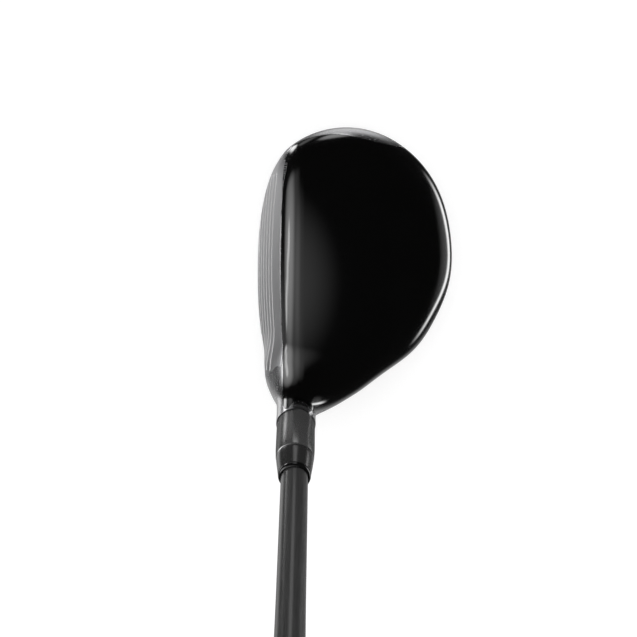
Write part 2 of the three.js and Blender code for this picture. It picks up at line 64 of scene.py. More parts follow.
LOFT = math.radians(19)
LEADING_EDGE = (-25.6, 3.5)
FACE_CURVE = 280.0
FACE_MIDDLE_Z = 19.0
CROWN_TOP = (-12.0, 2.0, 38.0)
CROWN_CURVE = (94.0, 128.0)
KEEL_HALF = (8.0, 12.0)
SOLE_CURVE = (118.0, 116.0)
EDGE_CROWN = 11.0
EDGE_SOLE = 9.0
EDGE_FACE = 2.6
EDGE_CROWN_FRONT = 5.6
SOFT_EDGE = 2.2
CROWN_EDGE_Z = 13.0

OUTLINE_CENTRE = (8.0, 0.0)
OUTLINE = [
    (-174, 39.6), (-152, 42.5), (-135, 47), (-124, 48.5), (-112, 52), (-103, 54.2), (-94, 51.2),
    (-80.5, 45.6), (-65, 42.4), (-50.8, 40.8), (-34, 40.4), (-19.3, 41.1), (-5.8, 42.3),
    (9.3, 44), (29.4, 46.9), (39.5, 48.6), (52.6, 51), (66, 52.9), (77, 53.2), (90, 53.2),
    (98, 52.7), (110, 50.6), (123, 47), (135, 43.6), (149, 41), (165, 39.2),
]
OUTLINE_WAVES = 8
FACE_EDGE_RISE = 8.0
NECK_FOOT_ROUNDING = 6.0

NECK_RADIUS = 7.15
NECK_BLEND = 13.0
NECK_BOTTOM = 14.0
NECK_MOUTH = 46.8
NECK_FLARE_START = 40.0
NECK_FLARE_CURVE = 110.0
HOSEL_BORE = 5.75
HOSEL_FLOOR = 22.5
SCREW_SEAT = 20.0
SCREW_PORT = 5.0
SLEEVE_BASE = 47.1
SLEEVE_TOP = 67.0
FERRULE_BASE = 67.3
FERRULE_TOP = 76.2
RING_TOP = 78.1
SHAFT_TIP = 37.0
SHAFT_BUTT = 1025.5
SHAFT_TIP_RADIUS = 4.7
SHAFT_BUTT_RADIUS = 7.6
SHAFT_WALL = 1.1
TAPER_START = 140.0
GRIP_MOUTH = 760.0
CLUB_LENGTH = 1029.0
WEIGHT_RADIUS = 6.5
WEIGHT_BORE = WEIGHT_RADIUS + 0.12

HEAD_GRID = 1.0

# ---- Head outer surface: negative inside, close to a distance in millimetres ----


def outline_waves():
    """A smooth round outline through the given bearings and distances, as cosine waves."""
    bearing = np.radians([b for b, _ in OUTLINE])
    columns = [np.ones_like(bearing)]
    for k in range(1, OUTLINE_WAVES + 1):
        columns += [np.cos(k * bearing), np.sin(k * bearing)]
    distance = np.array([d for _, d in OUTLINE], dtype=float)
    return np.linalg.lstsq(np.array(columns).T, distance, rcond=None)[0]


WAVES = outline_waves()


def outline_distance(bearing):
    total = np.full_like(bearing, WAVES[0])
    for k in range(1, OUTLINE_WAVES + 1):
        total += WAVES[2 * k - 1] * np.cos(k * bearing) + WAVES[2 * k] * np.sin(k * bearing)
    return total


def round_max(a, b, radius, power=2.0):
    """The larger of two fields, with the edge between them rounded."""
    u = np.maximum(a + radius, 0)
    v = np.maximum(b + radius, 0)
    return np.minimum(-radius, np.maximum(a, b)) + (u**power + v**power) ** (1 / power)


def round_min(a, b, radius, power=2.0):
    return -round_max(-a, -b, radius, power)


def side_field(p):
    """Inside or outside the plan outline."""
    dx = p[:, 0] - OUTLINE_CENTRE[0]
    dy = p[:, 1] - OUTLINE_CENTRE[1]
    return np.hypot(dx, dy) - outline_distance(np.arctan2(dy, dx))


def crown_field(p):
    """Below or above the crown's dome."""
    dx = p[:, 0] - CROWN_TOP[0]
    dy = p[:, 1] - CROWN_TOP[1]
    height = CROWN_TOP[2] - dx**2 / (2 * CROWN_CURVE[0]) - dy**2 / (2 * CROWN_CURVE[1])
    steep = np.sqrt(1 + (dx / CROWN_CURVE[0]) ** 2 + (dy / CROWN_CURVE[1]) ** 2)
    return (p[:, 2] - height) / steep


def sole_field(p):
    """Above or below the sole, which is flat on its keel and curves up around it."""
    dx = np.maximum(np.abs(p[:, 0]) - KEEL_HALF[0], 0)
    dy = np.maximum(np.abs(p[:, 1]) - KEEL_HALF[1], 0)
    return dx**2 / (2 * SOLE_CURVE[0]) + dy**2 / (2 * SOLE_CURVE[1]) - p[:, 2]


def face_field(p):
    """Behind or ahead of the lofted face, with its bulge and roll."""
    rise = (p[:, 2] - LEADING_EDGE[1]) * math.tan(LOFT)
    bulge = p[:, 1] ** 2 / (2 * FACE_CURVE)
    roll = (p[:, 2] - FACE_MIDDLE_Z) ** 2 / (2 * FACE_CURVE)
    return (LEADING_EDGE[0] + rise + bulge + roll - p[:, 0]) * math.cos(LOFT)


def body_field(p):
    """The head without its neck. The face's edge is rounder along the crown than below."""
    upper = round_max(side_field(p), crown_field(p), EDGE_CROWN, SOFT_EDGE)
    around = round_max(upper, sole_field(p), EDGE_SOLE, SOFT_EDGE)
    rise = np.clip((p[:, 2] - FACE_MIDDLE_Z) / FACE_EDGE_RISE, 0, 1)
    front_edge = EDGE_FACE + (EDGE_CROWN_FRONT - EDGE_FACE) * rise**2 * (3 - 2 * rise)
    return round_max(around, face_field(p), front_edge)


def along_line(p):
    return (p - LINE_FOOT) @ LINE


def across_line(p):
    return np.linalg.norm(p - LINE_FOOT - np.outer(along_line(p), LINE), axis=1)


def neck_field(p):
    """The neck round the shaft line, flared towards its foot."""
    along = along_line(p)
    flare = np.maximum(NECK_FLARE_START - along, 0) ** 2 / (2 * NECK_FLARE_CURVE)
    return round_max(across_line(p) - NECK_RADIUS - flare, NECK_BOTTOM - along, NECK_FOOT_ROUNDING)


def head_field(p):
    return round_min(body_field(p), neck_field(p), NECK_BLEND)


def slope_of(field, p, step=0.02):
    """The field's gradient at each point."""
    slope = np.empty_like(p)
    for axis in range(3):
        shift = np.zeros(3)
        shift[axis] = step
        slope[:, axis] = (field(p + shift) - field(p - shift)) / (2 * step)
    return slope


def unit(vectors):
    return vectors / np.maximum(np.linalg.norm(vectors, axis=-1, keepdims=True), 1e-9)


def onto_surface(field, p, rounds=4):
    for _ in range(rounds):
        slope = slope_of(field, p)
        length = np.maximum((slope**2).sum(axis=1), 1e-6)
        p = p - slope * (field(p) / length)[:, None]
    return p


# ---- Skins: points, outward normals and faces on a surface ----


def field_on_grid(field, axes):
    """The field at every grid point, worked out slab by slab."""
    xs, ys, zs = axes
    values = np.empty((len(xs), len(ys), len(zs)))
    flat_y, flat_z = [a.ravel() for a in np.meshgrid(ys, zs, indexing="ij")]
    for i, x in enumerate(xs):
        slab = np.column_stack([np.full_like(flat_y, x), flat_y, flat_z])
        values[i] = field(slab).reshape(len(ys), len(zs))
    return values


def net_of_surface(field, low, high, step):
    """A quad net over the field's zero surface, one point in each grid cell that it crosses."""
    axes = [np.arange(low[k], high[k] + step, step) for k in range(3)]
    inside = field_on_grid(field, axes) < 0
    counts = np.zeros([len(a) - 1 for a in axes], dtype=int)
    for corner in range(8):
        part = tuple(
            slice((corner >> k) & 1, (corner >> k & 1) + counts.shape[k]) for k in range(3)
        )
        counts += inside[part]
    crossed = (counts > 0) & (counts < 8)
    index = np.full(crossed.shape, -1)
    index[crossed] = np.arange(crossed.sum())
    cells = np.argwhere(crossed)
    points = np.column_stack([axes[k][cells[:, k]] + step / 2 for k in range(3)])
    faces = []
    for axis in range(3):
        second, third = (axis + 1) % 3, (axis + 2) % 3
        first_side = np.moveaxis(inside, (axis, second, third), (0, 1, 2))
        change = first_side[:-1, 1:-1, 1:-1] != first_side[1:, 1:-1, 1:-1]
        cell_index = np.moveaxis(index, (axis, second, third), (0, 1, 2))
        i, j, k = np.nonzero(change)
        quads = np.column_stack([
            cell_index[i, j, k], cell_index[i, j + 1, k],
            cell_index[i, j + 1, k + 1], cell_index[i, j, k + 1],
        ])
        facing = first_side[i, j + 1, k + 1]
        quads[~facing] = quads[~facing][:, ::-1]
        faces.append(quads)
    return points, np.concatenate(faces)


def evened(field, points, quads, rounds=5):
    """Spreads the net's points evenly over the surface."""
    ends = np.concatenate([quads[:, [k, (k + 1) % 4]] for k in range(4)])
    ends = np.concatenate([ends, ends[:, ::-1]])
    neighbours = np.bincount(ends[:, 0], minlength=len(points)).astype(float)
    points = onto_surface(field, points, 6)
    for _ in range(rounds):
        middle = np.zeros_like(points)
        np.add.at(middle, ends[:, 0], points[ends[:, 1]])
        middle /= neighbours[:, None]
        points = onto_surface(field, points + 0.6 * (middle - points), 2)
    return points


def cut_skin(points, faces, region, field, snap=0.2):
    """Keeps the part where the region is negative, with clean points along its edge."""
    values = region(points)
    near = np.abs(values) < snap * HEAD_GRID
    if near.any():
        points = points.copy()
        points[near] = onto_edge(points[near], region, field)
        values[near] = 0.0
    cuts = {}
    kept, starts, stops = [], [], []

    def crossing(a, b):
        key = (min(a, b), max(a, b))
        if key not in cuts:
            cuts[key] = len(points) + len(cuts)
            starts.append(key[0])
            stops.append(key[1])
        return cuts[key]

    sides = np.sign(values).astype(int)
    for face in faces:
        signs = [sides[v] for v in face]
        if max(signs) <= 0:
            if min(signs) < 0:
                kept.append(list(face))
            continue
        if min(signs) >= 0:
            continue
        outline = []
        for k, here in enumerate(face):
            after = face[(k + 1) % len(face)]
            if signs[k] <= 0:
                outline.append(here)
            if signs[k] * sides[after] < 0:
                outline.append(crossing(here, after))
        if len(outline) > 2:
            kept.append(outline)
    if starts:
        share = values[starts] / (values[starts] - values[stops])
        new = points[starts] + share[:, None] * (points[stops] - points[starts])
        points = np.concatenate([points, onto_edge(new, region, field)])
    return tidy_skin(points, kept)


def onto_edge(p, region, field):
    """Moves points onto both the surface and the region's edge."""
    for _ in range(4):
        a, b = slope_of(field, p), slope_of(region, p)
        b -= a * ((a * b).sum(axis=1) / np.maximum((a * a).sum(axis=1), 1e-6))[:, None]
        length = np.maximum((b * b).sum(axis=1), 1e-3)
        move = np.clip(region(p) / length, -0.5, 0.5)
        p = onto_surface(field, p - b * move[:, None], 2)
    return p


def tidy_skin(points, faces):
    """Drops unused points and numbers the rest again."""
    used = np.zeros(len(points), dtype=bool)
    for face in faces:
        used[list(face)] = True
    number = np.cumsum(used) - 1
    return points[used], [[int(number[v]) for v in face] for face in faces]


def edge_loops(faces):
    """The open edges of a skin as closed runs of point numbers, in the faces' direction."""
    seen = set()
    for face in faces:
        for k, here in enumerate(face):
            seen.add((here, face[(k + 1) % len(face)]))
    follow = {a: b for a, b in seen if (b, a) not in seen}
    loops = []
    while follow:
        start = next(iter(follow))
        loop = [start]
        step = follow.pop(start)
        while step != start and step in follow:
            loop.append(step)
            step = follow.pop(step)
        if step == start and len(loop) > 2:
            loops.append(loop)
    return loops


def smoothed_loop(loop_points, rounds=2):
    for _ in range(rounds):
        around = (np.roll(loop_points, 1, axis=0) + np.roll(loop_points, -1, axis=0)) / 2
        loop_points = (loop_points + around) / 2
    return loop_points


def thick_shell(points, faces, field, wall, bevel):
    """A closed shell: the skin outside, rounded edges, and its copy moved in by the wall."""
    normals = unit(slope_of(field, points))
    count = len(points)
    all_points = [points, points - normals * wall]
    all_normals = [normals, -normals]
    all_faces = [list(f) for f in faces] + [[v + count for v in reversed(f)] for f in faces]
    total = 2 * count
    for loop in edge_loops(faces):
        ring = points[loop]
        up = normals[loop]
        ahead = unit(np.roll(ring, -1, axis=0) - np.roll(ring, 1, axis=0))
        out = unit(smoothed_loop(unit(np.cross(ahead, up))))
        previous = np.array(loop)
        turns = [math.radians(30), math.radians(60), math.radians(90)]
        rings = []
        for turn in turns:
            place = ring + out * bevel * math.sin(turn) - up * bevel * (1 - math.cos(turn))
            rings.append((place, up * math.cos(turn) + out * math.sin(turn)))
        rings.append((ring + out * bevel - up * (wall - 0.02), out))
        for place, direction in rings:
            number = total + np.arange(len(loop))
            total += len(loop)
            all_points.append(place)
            all_normals.append(unit(direction))
            all_faces += ring_strip(previous, number)
            previous = number
        all_faces += ring_strip(previous, np.array(loop) + count)
    return np.concatenate(all_points), all_faces, np.concatenate(all_normals)


def ring_strip(inner, outer):
    """Quads from one loop of point numbers to the next one outside it."""
    after_in, after_out = np.roll(inner, -1), np.roll(outer, -1)
    return [
        [int(a), int(c), int(d), int(b)]
        for a, b, c, d in zip(inner, after_in, outer, after_out)
    ]


# ---- Turned and extruded pieces ----


def line_place():
    """The frame of the shaft line: its own Z runs up the shaft."""
    across = np.array([1.0, 0.0, 0.0])
    return np.array([across, np.cross(LINE, across), LINE]).T, LINE_FOOT


def weight_place():
    """The frame of the sole weight: its own Z runs into the head."""
    inward = -WEIGHT_OUT
    across = unit(np.cross(np.array([0.0, 1.0, 0.0]), inward))
    return np.array([across, np.cross(inward, across), inward]).T, WEIGHT_FOOT


def rounded_profile(corners, steps=3):
    """Turns [radius, height, fillet] corners into a profile with rounded corners."""
    profile = []
    last = len(corners) - 1
    for i, corner in enumerate(corners):
        here = np.array(corner[:2], dtype=float)
        fillet = corner[2] if len(corner) > 2 else 0.0
        if fillet == 0.0 or i in (0, last):
            profile.append(here)
            continue
        before = np.array(corners[i - 1][:2], dtype=float)
        after = np.array(corners[i + 1][:2], dtype=float)
        reach_in = min(fillet, np.linalg.norm(before - here) * 0.49)
        reach_out = min(fillet, np.linalg.norm(after - here) * 0.49)
        start = here + unit(before - here) * reach_in
        stop = here + unit(after - here) * reach_out
        for k in range(steps + 1):
            t = k / steps
            bend = (1 - t) ** 2 * start + 2 * t * (1 - t) * here + t**2 * stop
            profile.append(bend)
    return profile


# A turned piece that closes on its axis ends at this small radius.
AXIS_RADIUS = 0.02


def rings_from(profile, segments, swing=None):
    """Rings of points about Z. swing(radius, height, angle) may change each ring's radius."""
    angle = np.arange(segments) / segments * 2 * math.pi
    rings = []
    for radius, height in profile:
        reach = np.full(segments, float(radius))
        if swing is not None:
            reach = swing(reach, height, angle)
        ring = np.column_stack([
            reach * np.cos(angle), reach * np.sin(angle), np.full(segments, float(height)),
        ])
        rings.append(ring)
    return rings


def stacked(rings, closed=False):
    """Faces that join rings in order. A closed stack also joins its last ring to its first."""
    segments = len(rings[0])
    points = np.concatenate(rings)
    faces = []
    numbers = [np.arange(segments) + segments * k for k in range(len(rings))]
    for below, above in zip(numbers, numbers[1:]):
        faces += ring_strip(above, below)
    if closed:
        faces += ring_strip(numbers[0], numbers[-1])
    else:
        faces.append([int(v) for v in reversed(numbers[0])])
        faces.append([int(v) for v in numbers[-1]])
    return points, faces


def placed(points, place):
    turn, origin = place
    return points @ turn.T + origin


def make_piece(name, points, faces, body, material, stands_for=(), normals=None, sharp=32):
    """A piece that rides on its body, takes the finish it is given, and stands for its CAD nodes.
    """
    mesh = bpy.data.meshes.new(name)
    mesh.from_pydata((points * MM).tolist(), [], faces)
    mesh.update()
    mesh.polygons.foreach_set("use_smooth", [True] * len(mesh.polygons))
    if normals is None:
        mesh.set_sharp_from_angle(angle=math.radians(sharp))
    else:
        mesh.normals_split_custom_set_from_vertices(normals.tolist())
    mesh.materials.append(material)
    piece = bpy.data.objects.new(name, mesh)
    bpy.context.scene.collection.objects.link(piece)
    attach(piece, body)
    if stands_for:
        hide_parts(*stands_for)
    return piece


def node_piece(node, points, faces, body, material, normals=None, sharp=32):
    """The finished piece that stands for one CAD node."""
    name = node + "_finished"
    return make_piece(name, points, faces, body, material, (node,), normals, sharp)


def turned_parts(corners, segments=96, swing=None, ring=False, place=None):
    """Points and faces of a turned solid, or of a ring with its own inside, in its place."""
    rings = rings_from(rounded_profile(corners), segments, swing)
    points, faces = stacked(rings, closed=ring)
    return placed(points, line_place() if place is None else place), faces


# ---- Cutting lines of the head ----


def smooth_curve(knots, steps=14, closed=False):
    """Points along a curve through the knots."""
    knots = np.array(knots, dtype=float)
    if closed:
        knots = np.concatenate([knots[-1:], knots, knots[:2]])
    else:
        knots = np.concatenate([2 * knots[:1] - knots[1:2], knots, 2 * knots[-1:] - knots[-2:-1]])
    points = []
    for before, here, after, beyond in zip(knots, knots[1:], knots[2:], knots[3:]):
        for t in np.arange(steps) / steps:
            points.append(0.5 * (
                2 * here + (after - before) * t
                + (2 * before - 5 * here + 4 * after - beyond) * t**2
                + (3 * here - before - 3 * after + beyond) * t**3
            ))
    if not closed:
        points.append(knots[-2])
    return np.array(points)


def signed_distance(polygon, flat):
    """Distance from each flat point to the closed polygon, negative inside."""
    best = np.full(len(flat), np.inf)
    inside = np.zeros(len(flat), dtype=bool)
    for a, b in zip(polygon, np.roll(polygon, -1, axis=0)):
        edge = b - a
        from_a = flat - a
        share = np.clip(from_a @ edge / max(edge @ edge, 1e-12), 0, 1)
        gap = np.hypot(*(from_a - share[:, None] * edge).T)
        best = np.minimum(best, gap)
        spans = (a[1] > flat[:, 1]) != (b[1] > flat[:, 1])
        if edge[1] != 0:
            side = flat[:, 0] < a[0] + (flat[:, 1] - a[1]) * edge[0] / edge[1]
            inside ^= spans & side
    return np.where(inside, -best, best)


def crown_outline():
    """Plan outline of the crown, from its lobe in front of the neck, up the front and round the
    toe to the silhouette, and from the back of the heel round the neck again."""
    front = smooth_curve([
        (-13.4, -51.5), (-14.4, -49.8), (-14.6, -45), (-14.5, -39), (-14.8, -30), (-15.1, -18),
        (-15.35, 2), (-15.05, 18), (-14.7, 32), (-14.1, 38.5), (-12.9, 42.4), (-10.7, 45.4),
        (-7.4, 47.4), (-2.6, 48.7), (4.4, 49.4), (11, 48.7), (16.5, 47.6), (21.7, 46.4), (26, 45.8),
    ])
    heel = smooth_curve([
        (6, -57), (1.8, -53.6), (-0.4, -53.4), (-1.9, -53.8), (-3.3, -52.7), (-4.6, -51.2),
        (-5.8, -49.8), (-6.8, -48.9), (-8.3, -48.5), (-10, -48.8), (-11.3, -49.8), (-12.3, -51.2),
    ])
    return np.concatenate([front, [(70.0, 45.7), (70.0, -70.0), (10.0, -70.0)], heel])


FACE_CORNERS = [(-46.5, 7.5), (-35, 30.5), (36, 31), (42.5, 23), (42, 13), (33, 6.5)]
FACE_CORNER_INSET = 5.0


def inset_corners(corners, inset):
    """Two points either side of each corner, so that a curve through them turns gently."""
    points = []
    for i, corner in enumerate(corners):
        here = np.array(corner, dtype=float)
        for other in (corners[i - 1], corners[(i + 1) % len(corners)]):
            way = np.array(other, dtype=float) - here
            length = np.linalg.norm(way)
            points.append(here + way * min(inset / length, 0.45))
    return points


FACE_ORIGIN = np.array([LEADING_EDGE[0] - LEADING_EDGE[1] * math.tan(LOFT), 0.0, 0.0])
FACE_UP = np.array([math.sin(LOFT), 0.0, math.cos(LOFT)])
FACE_IN = np.array([math.cos(LOFT), 0.0, -math.sin(LOFT)])


def face_outline():
    corners = [(y, z / math.cos(LOFT)) for y, z in FACE_CORNERS]
    return smooth_curve(inset_corners(corners, FACE_CORNER_INSET), 8, closed=True)


BADGE_SIDES = (-14.0, 9.0)
BADGE_ENDS = (20.0, 38.0)
BADGE_SHOULDER = 30.0
BADGE_TAPER = 2.5
BADGE_CORNER_INSET = 2.0


def badge_outline():
    """A plain shield."""
    left, right = BADGE_SIDES
    low, high = BADGE_ENDS
    middle = (left + right) / 2
    corners = [
        (left, low), (middle, low - 1.5), (right, low), (right - BADGE_TAPER, BADGE_SHOULDER),
        (middle, high), (left + BADGE_TAPER, BADGE_SHOULDER),
    ]
    return smooth_curve(inset_corners(corners, BADGE_CORNER_INSET), 6, closed=True)


CROWN_OUTLINE = crown_outline()
FACE_OUTLINE = face_outline()
BADGE_OUTLINE = badge_outline()
WINDOW_ANGLES = (0.62, 1.66)
WINDOW_DEPTH = 2.6
WINDOW_ROUNDING = 0.6
FACE_REACH = 10.0
BADGE_REACH = 9.0
WEIGHT_REACH = 8.0
PORT_REACH = 15.0


# Each region is negative where its piece or opening is.


def crown_region(p):
    return np.maximum(signed_distance(CROWN_OUTLINE, p[:, :2]), CROWN_EDGE_Z - p[:, 2])


def face_region(p):
    from_origin = p - FACE_ORIGIN
    flat = np.column_stack([p[:, 1], from_origin @ FACE_UP])
    return np.maximum(signed_distance(FACE_OUTLINE, flat), from_origin @ FACE_IN - FACE_REACH)


def badge_region(p):
    return np.maximum(signed_distance(BADGE_OUTLINE, p[:, :2]), p[:, 2] - BADGE_REACH)


def weight_region(p):
    from_foot = p - WEIGHT_FOOT
    along = from_foot @ WEIGHT_OUT
    across = np.linalg.norm(from_foot - np.outer(along, WEIGHT_OUT), axis=1)
    return np.maximum(across - WEIGHT_BORE, -along - WEIGHT_REACH)


def port_region(p):
    return np.maximum(across_line(p) - SCREW_PORT, along_line(p) - PORT_REACH)


def mouth_region(p):
    return NECK_MOUTH - along_line(p)


def window_region(p):
    turn, origin = line_place()
    local = (p - origin) @ turn
    middle, half = sum(WINDOW_ANGLES) / 2, (WINDOW_ANGLES[1] - WINDOW_ANGLES[0]) / 2
    swing = np.abs(np.arctan2(local[:, 1], local[:, 0]) - middle) - half
    beside = swing * np.hypot(local[:, 0], local[:, 1])
    return round_max(beside, NECK_MOUTH - WINDOW_DEPTH - local[:, 2], WINDOW_ROUNDING)


def grown(region, margin):
    """A region with its edge moved out by a margin."""
    return lambda p: region(p) - margin


def outside(region, margin):
    """What is left outside a region, with the edge moved away from it by a margin."""
    return lambda p: margin - region(p)


# ---- Finishes ----


class Finish:
    """A material being built: its node tree and its Principled shader."""

    def __init__(self, name, **constants):
        self.material = bpy.data.materials.new(name)
        self.material.use_nodes = True
        self.nodes = self.material.node_tree.nodes
        self.links = self.material.node_tree.links
        self.shader = self.nodes["Principled BSDF"]
        for socket, value in constants.items():
            self.shader.inputs[socket.replace("_", " ")].default_value = value

    def effect(self, group, **values):
        node = self.nodes.new("ShaderNodeGroup")
        node.node_tree = group
        for socket, value in values.items():
            node.inputs[socket.replace("_", " ")].default_value = value
        return node

    def blend_colour(self, mask, low, high):
        """Base Color runs from one colour to another as the mask rises."""
        mix = self.nodes.new("ShaderNodeMix")
        mix.data_type = "RGBA"
        mix.inputs[6].default_value = (*low, 1)
        mix.inputs[7].default_value = (*high, 1)
        self.links.new(mask, mix.inputs[0])
        self.links.new(mix.outputs[2], self.shader.inputs["Base Color"])

    def span_roughness(self, mask, low, high):
        span = self.nodes.new("ShaderNodeMapRange")
        span.inputs["To Min"].default_value = low
        span.inputs["To Max"].default_value = high
        self.links.new(mask, span.inputs["Value"])
        self.links.new(span.outputs["Result"], self.shader.inputs["Roughness"])

    def bump(self, height, strength, distance=0.0001):
        bump = self.nodes.new("ShaderNodeBump")
        bump.inputs["Strength"].default_value = strength
        bump.inputs["Distance"].default_value = distance
        self.links.new(height, bump.inputs["Height"])
        self.links.new(bump.outputs["Normal"], self.shader.inputs["Normal"])


def new_effect(name, inputs, outputs):
    """An empty shader node group with named sockets."""
    group = bpy.data.node_groups.new(name, "ShaderNodeTree")
    for socket, kind, value in inputs:
        made = group.interface.new_socket(name=socket, in_out="INPUT", socket_type=kind)
        made.default_value = value
    for socket in outputs:
        group.interface.new_socket(name=socket, in_out="OUTPUT", socket_type="NodeSocketFloat")
    return group, group.nodes.new("NodeGroupInput"), group.nodes.new("NodeGroupOutput")


FLOAT = "NodeSocketFloat"
VECTOR = "NodeSocketVector"


def stretched_grain():
    """Fine grain, stretched by a vector of scales per metre."""
    group, given, out = new_effect(
        "Stretched Grain",
        [("Stretch", VECTOR, (300, 300, 300)), ("Detail", FLOAT, 3.0), ("Contrast", FLOAT, 1.0)],
        ["Mask"],
    )
    place = group.nodes.new("ShaderNodeTexCoord")
    scale = group.nodes.new("ShaderNodeVectorMath")
    scale.operation = "MULTIPLY"
    noise = group.nodes.new("ShaderNodeTexNoise")
    noise.inputs["Scale"].default_value = 1.0
    centred = group.nodes.new("ShaderNodeMath")
    centred.operation = "SUBTRACT"
    centred.inputs[1].default_value = 0.5
    spread = group.nodes.new("ShaderNodeMath")
    spread.operation = "MULTIPLY"
    back = group.nodes.new("ShaderNodeMath")
    back.operation = "ADD"
    back.use_clamp = True
    back.inputs[1].default_value = 0.5
    links = group.links
    links.new(place.outputs["Object"], scale.inputs[0])
    links.new(given.outputs["Stretch"], scale.inputs[1])
    links.new(scale.outputs[0], noise.inputs["Vector"])
    links.new(given.outputs["Detail"], noise.inputs["Detail"])
    links.new(noise.outputs["Fac"], centred.inputs[0])
    links.new(centred.outputs[0], spread.inputs[0])
    links.new(given.outputs["Contrast"], spread.inputs[1])
    links.new(spread.outputs[0], back.inputs[0])
    links.new(back.outputs[0], out.inputs["Mask"])
    return group


def turned_lines():
    """Fine rings round an axis, as a lathe tool leaves them."""
    group, given, out = new_effect(
        "Turned Lines",
        [("Axis", VECTOR, (0, 0, 1)), ("Lines per Metre", FLOAT, 4000.0)],
        ["Mask"],
    )
    place = group.nodes.new("ShaderNodeTexCoord")
    along = group.nodes.new("ShaderNodeVectorMath")
    along.operation = "DOT_PRODUCT"
    scale = group.nodes.new("ShaderNodeMath")
    scale.operation = "MULTIPLY"
    noise = group.nodes.new("ShaderNodeTexNoise")
    noise.noise_dimensions = "1D"
    noise.inputs["Scale"].default_value = 1.0
    noise.inputs["Detail"].default_value = 2.0
    links = group.links
    links.new(place.outputs["Object"], along.inputs[0])
    links.new(given.outputs["Axis"], along.inputs[1])
    links.new(along.outputs["Value"], scale.inputs[0])
    links.new(given.outputs["Lines per Metre"], scale.inputs[1])
    links.new(scale.outputs[0], noise.inputs["W"])
    links.new(noise.outputs["Fac"], out.inputs["Mask"])
    return group


GRAIN = stretched_grain()
TURNED = turned_lines()


def even(value):
    return (value, value, value)


def satin_steel():
    finish = Finish("Satin cast steel", Metallic=1.0)
    grain = finish.effect(GRAIN, Stretch=(900, 260, 900), Detail=4.0, Contrast=1.3)
    finish.blend_colour(grain.outputs["Mask"], (0.55, 0.55, 0.56), (0.68, 0.68, 0.69))
    finish.span_roughness(grain.outputs["Mask"], 0.2, 0.3)
    finish.bump(grain.outputs["Mask"], 0.05)
    return finish.material


def face_steel():
    finish = Finish("Blasted face steel", Metallic=1.0)
    blast = finish.effect(GRAIN, Stretch=(5000, 5000, 5000), Detail=2.0, Contrast=1.2)
    finish.blend_colour(blast.outputs["Mask"], (0.44, 0.44, 0.45), (0.55, 0.55, 0.56))
    finish.span_roughness(blast.outputs["Mask"], 0.34, 0.42)
    finish.bump(blast.outputs["Mask"], 0.15)
    return finish.material


def milled_steel():
    finish = Finish("Milled score line steel", Metallic=0.72)
    mill = finish.effect(GRAIN, Stretch=(3000, 600, 3000), Detail=2.0, Contrast=1.4)
    finish.blend_colour(mill.outputs["Mask"], even(0.62), even(0.78))
    finish.span_roughness(mill.outputs["Mask"], 0.6, 0.72)
    return finish.material


def crown_gloss():
    finish = Finish("Crown black gloss", Coat_Weight=1.0, Coat_Roughness=0.02, Coat_IOR=1.5,
                    Specular_IOR_Level=0.3)
    haze = finish.effect(GRAIN, Stretch=(60, 60, 60), Detail=3.0, Contrast=1.2)
    finish.blend_colour(haze.outputs["Mask"], even(0.0007), even(0.0013))
    finish.span_roughness(haze.outputs["Mask"], 0.14, 0.2)
    return finish.material


def dark_anodised():
    finish = Finish("Dark anodised aluminium", Metallic=0.8, Specular_Tint=(0.25, 0.25, 0.25, 1))
    lines = finish.effect(TURNED, Axis=tuple(LINE), Lines_per_Metre=5200.0)
    finish.blend_colour(lines.outputs["Mask"], even(0.2), even(0.26))
    finish.span_roughness(lines.outputs["Mask"], 0.2, 0.28)
    finish.bump(lines.outputs["Mask"], 0.08)
    return finish.material


def polished_plastic(name, colour, low, high):
    finish = Finish(name, Coat_Weight=0.25, Coat_Roughness=0.12)
    lines = finish.effect(TURNED, Axis=tuple(LINE), Lines_per_Metre=2600.0)
    finish.blend_colour(lines.outputs["Mask"], even(colour * 0.8), even(colour * 1.2))
    finish.span_roughness(lines.outputs["Mask"], low, high)
    finish.bump(lines.outputs["Mask"], 0.03)
    return finish.material


def graphite():
    finish = Finish("Clear-coated graphite", Coat_Weight=0.3, Coat_Roughness=0.12,
                    Specular_Tint=(0.6, 0.6, 0.6, 1))
    fibre = finish.effect(GRAIN, Stretch=(2400, 70, 110), Detail=3.0, Contrast=1.5)
    finish.blend_colour(fibre.outputs["Mask"], even(0.022), even(0.045))
    finish.span_roughness(fibre.outputs["Mask"], 0.28, 0.36)
    return finish.material


def rubber(name, colour, rough):
    finish = Finish(name, Specular_IOR_Level=0.3)
    grain = finish.effect(GRAIN, Stretch=even(2600), Detail=4.0, Contrast=1.6)
    finish.blend_colour(grain.outputs["Mask"], even(colour * 0.75), even(colour * 1.35))
    finish.span_roughness(grain.outputs["Mask"], rough - 0.08, rough + 0.08)
    finish.bump(grain.outputs["Mask"], 0.3)
    return finish.material


def plain_metal(name, colour, rough, axis):
    """Turned metal, with rings round the given axis."""
    finish = Finish(name, Metallic=1.0)
    lines = finish.effect(TURNED, Axis=tuple(axis), Lines_per_Metre=4200.0)
    low = tuple(c * 0.9 for c in colour)
    finish.blend_colour(lines.outputs["Mask"], low, colour)
    finish.span_roughness(lines.outputs["Mask"], rough - 0.05, rough + 0.05)
    finish.bump(lines.outputs["Mask"], 0.1)
    return finish.material


def sintered_metal(name, colour, rough):
    finish = Finish(name, Metallic=1.0)
    grain = finish.effect(GRAIN, Stretch=even(1400), Detail=5.0, Contrast=1.6)
    finish.blend_colour(grain.outputs["Mask"], even(colour * 0.75), even(colour * 1.2))
    finish.span_roughness(grain.outputs["Mask"], rough - 0.1, rough + 0.1)
    finish.bump(grain.outputs["Mask"], 0.4)
    return finish.material


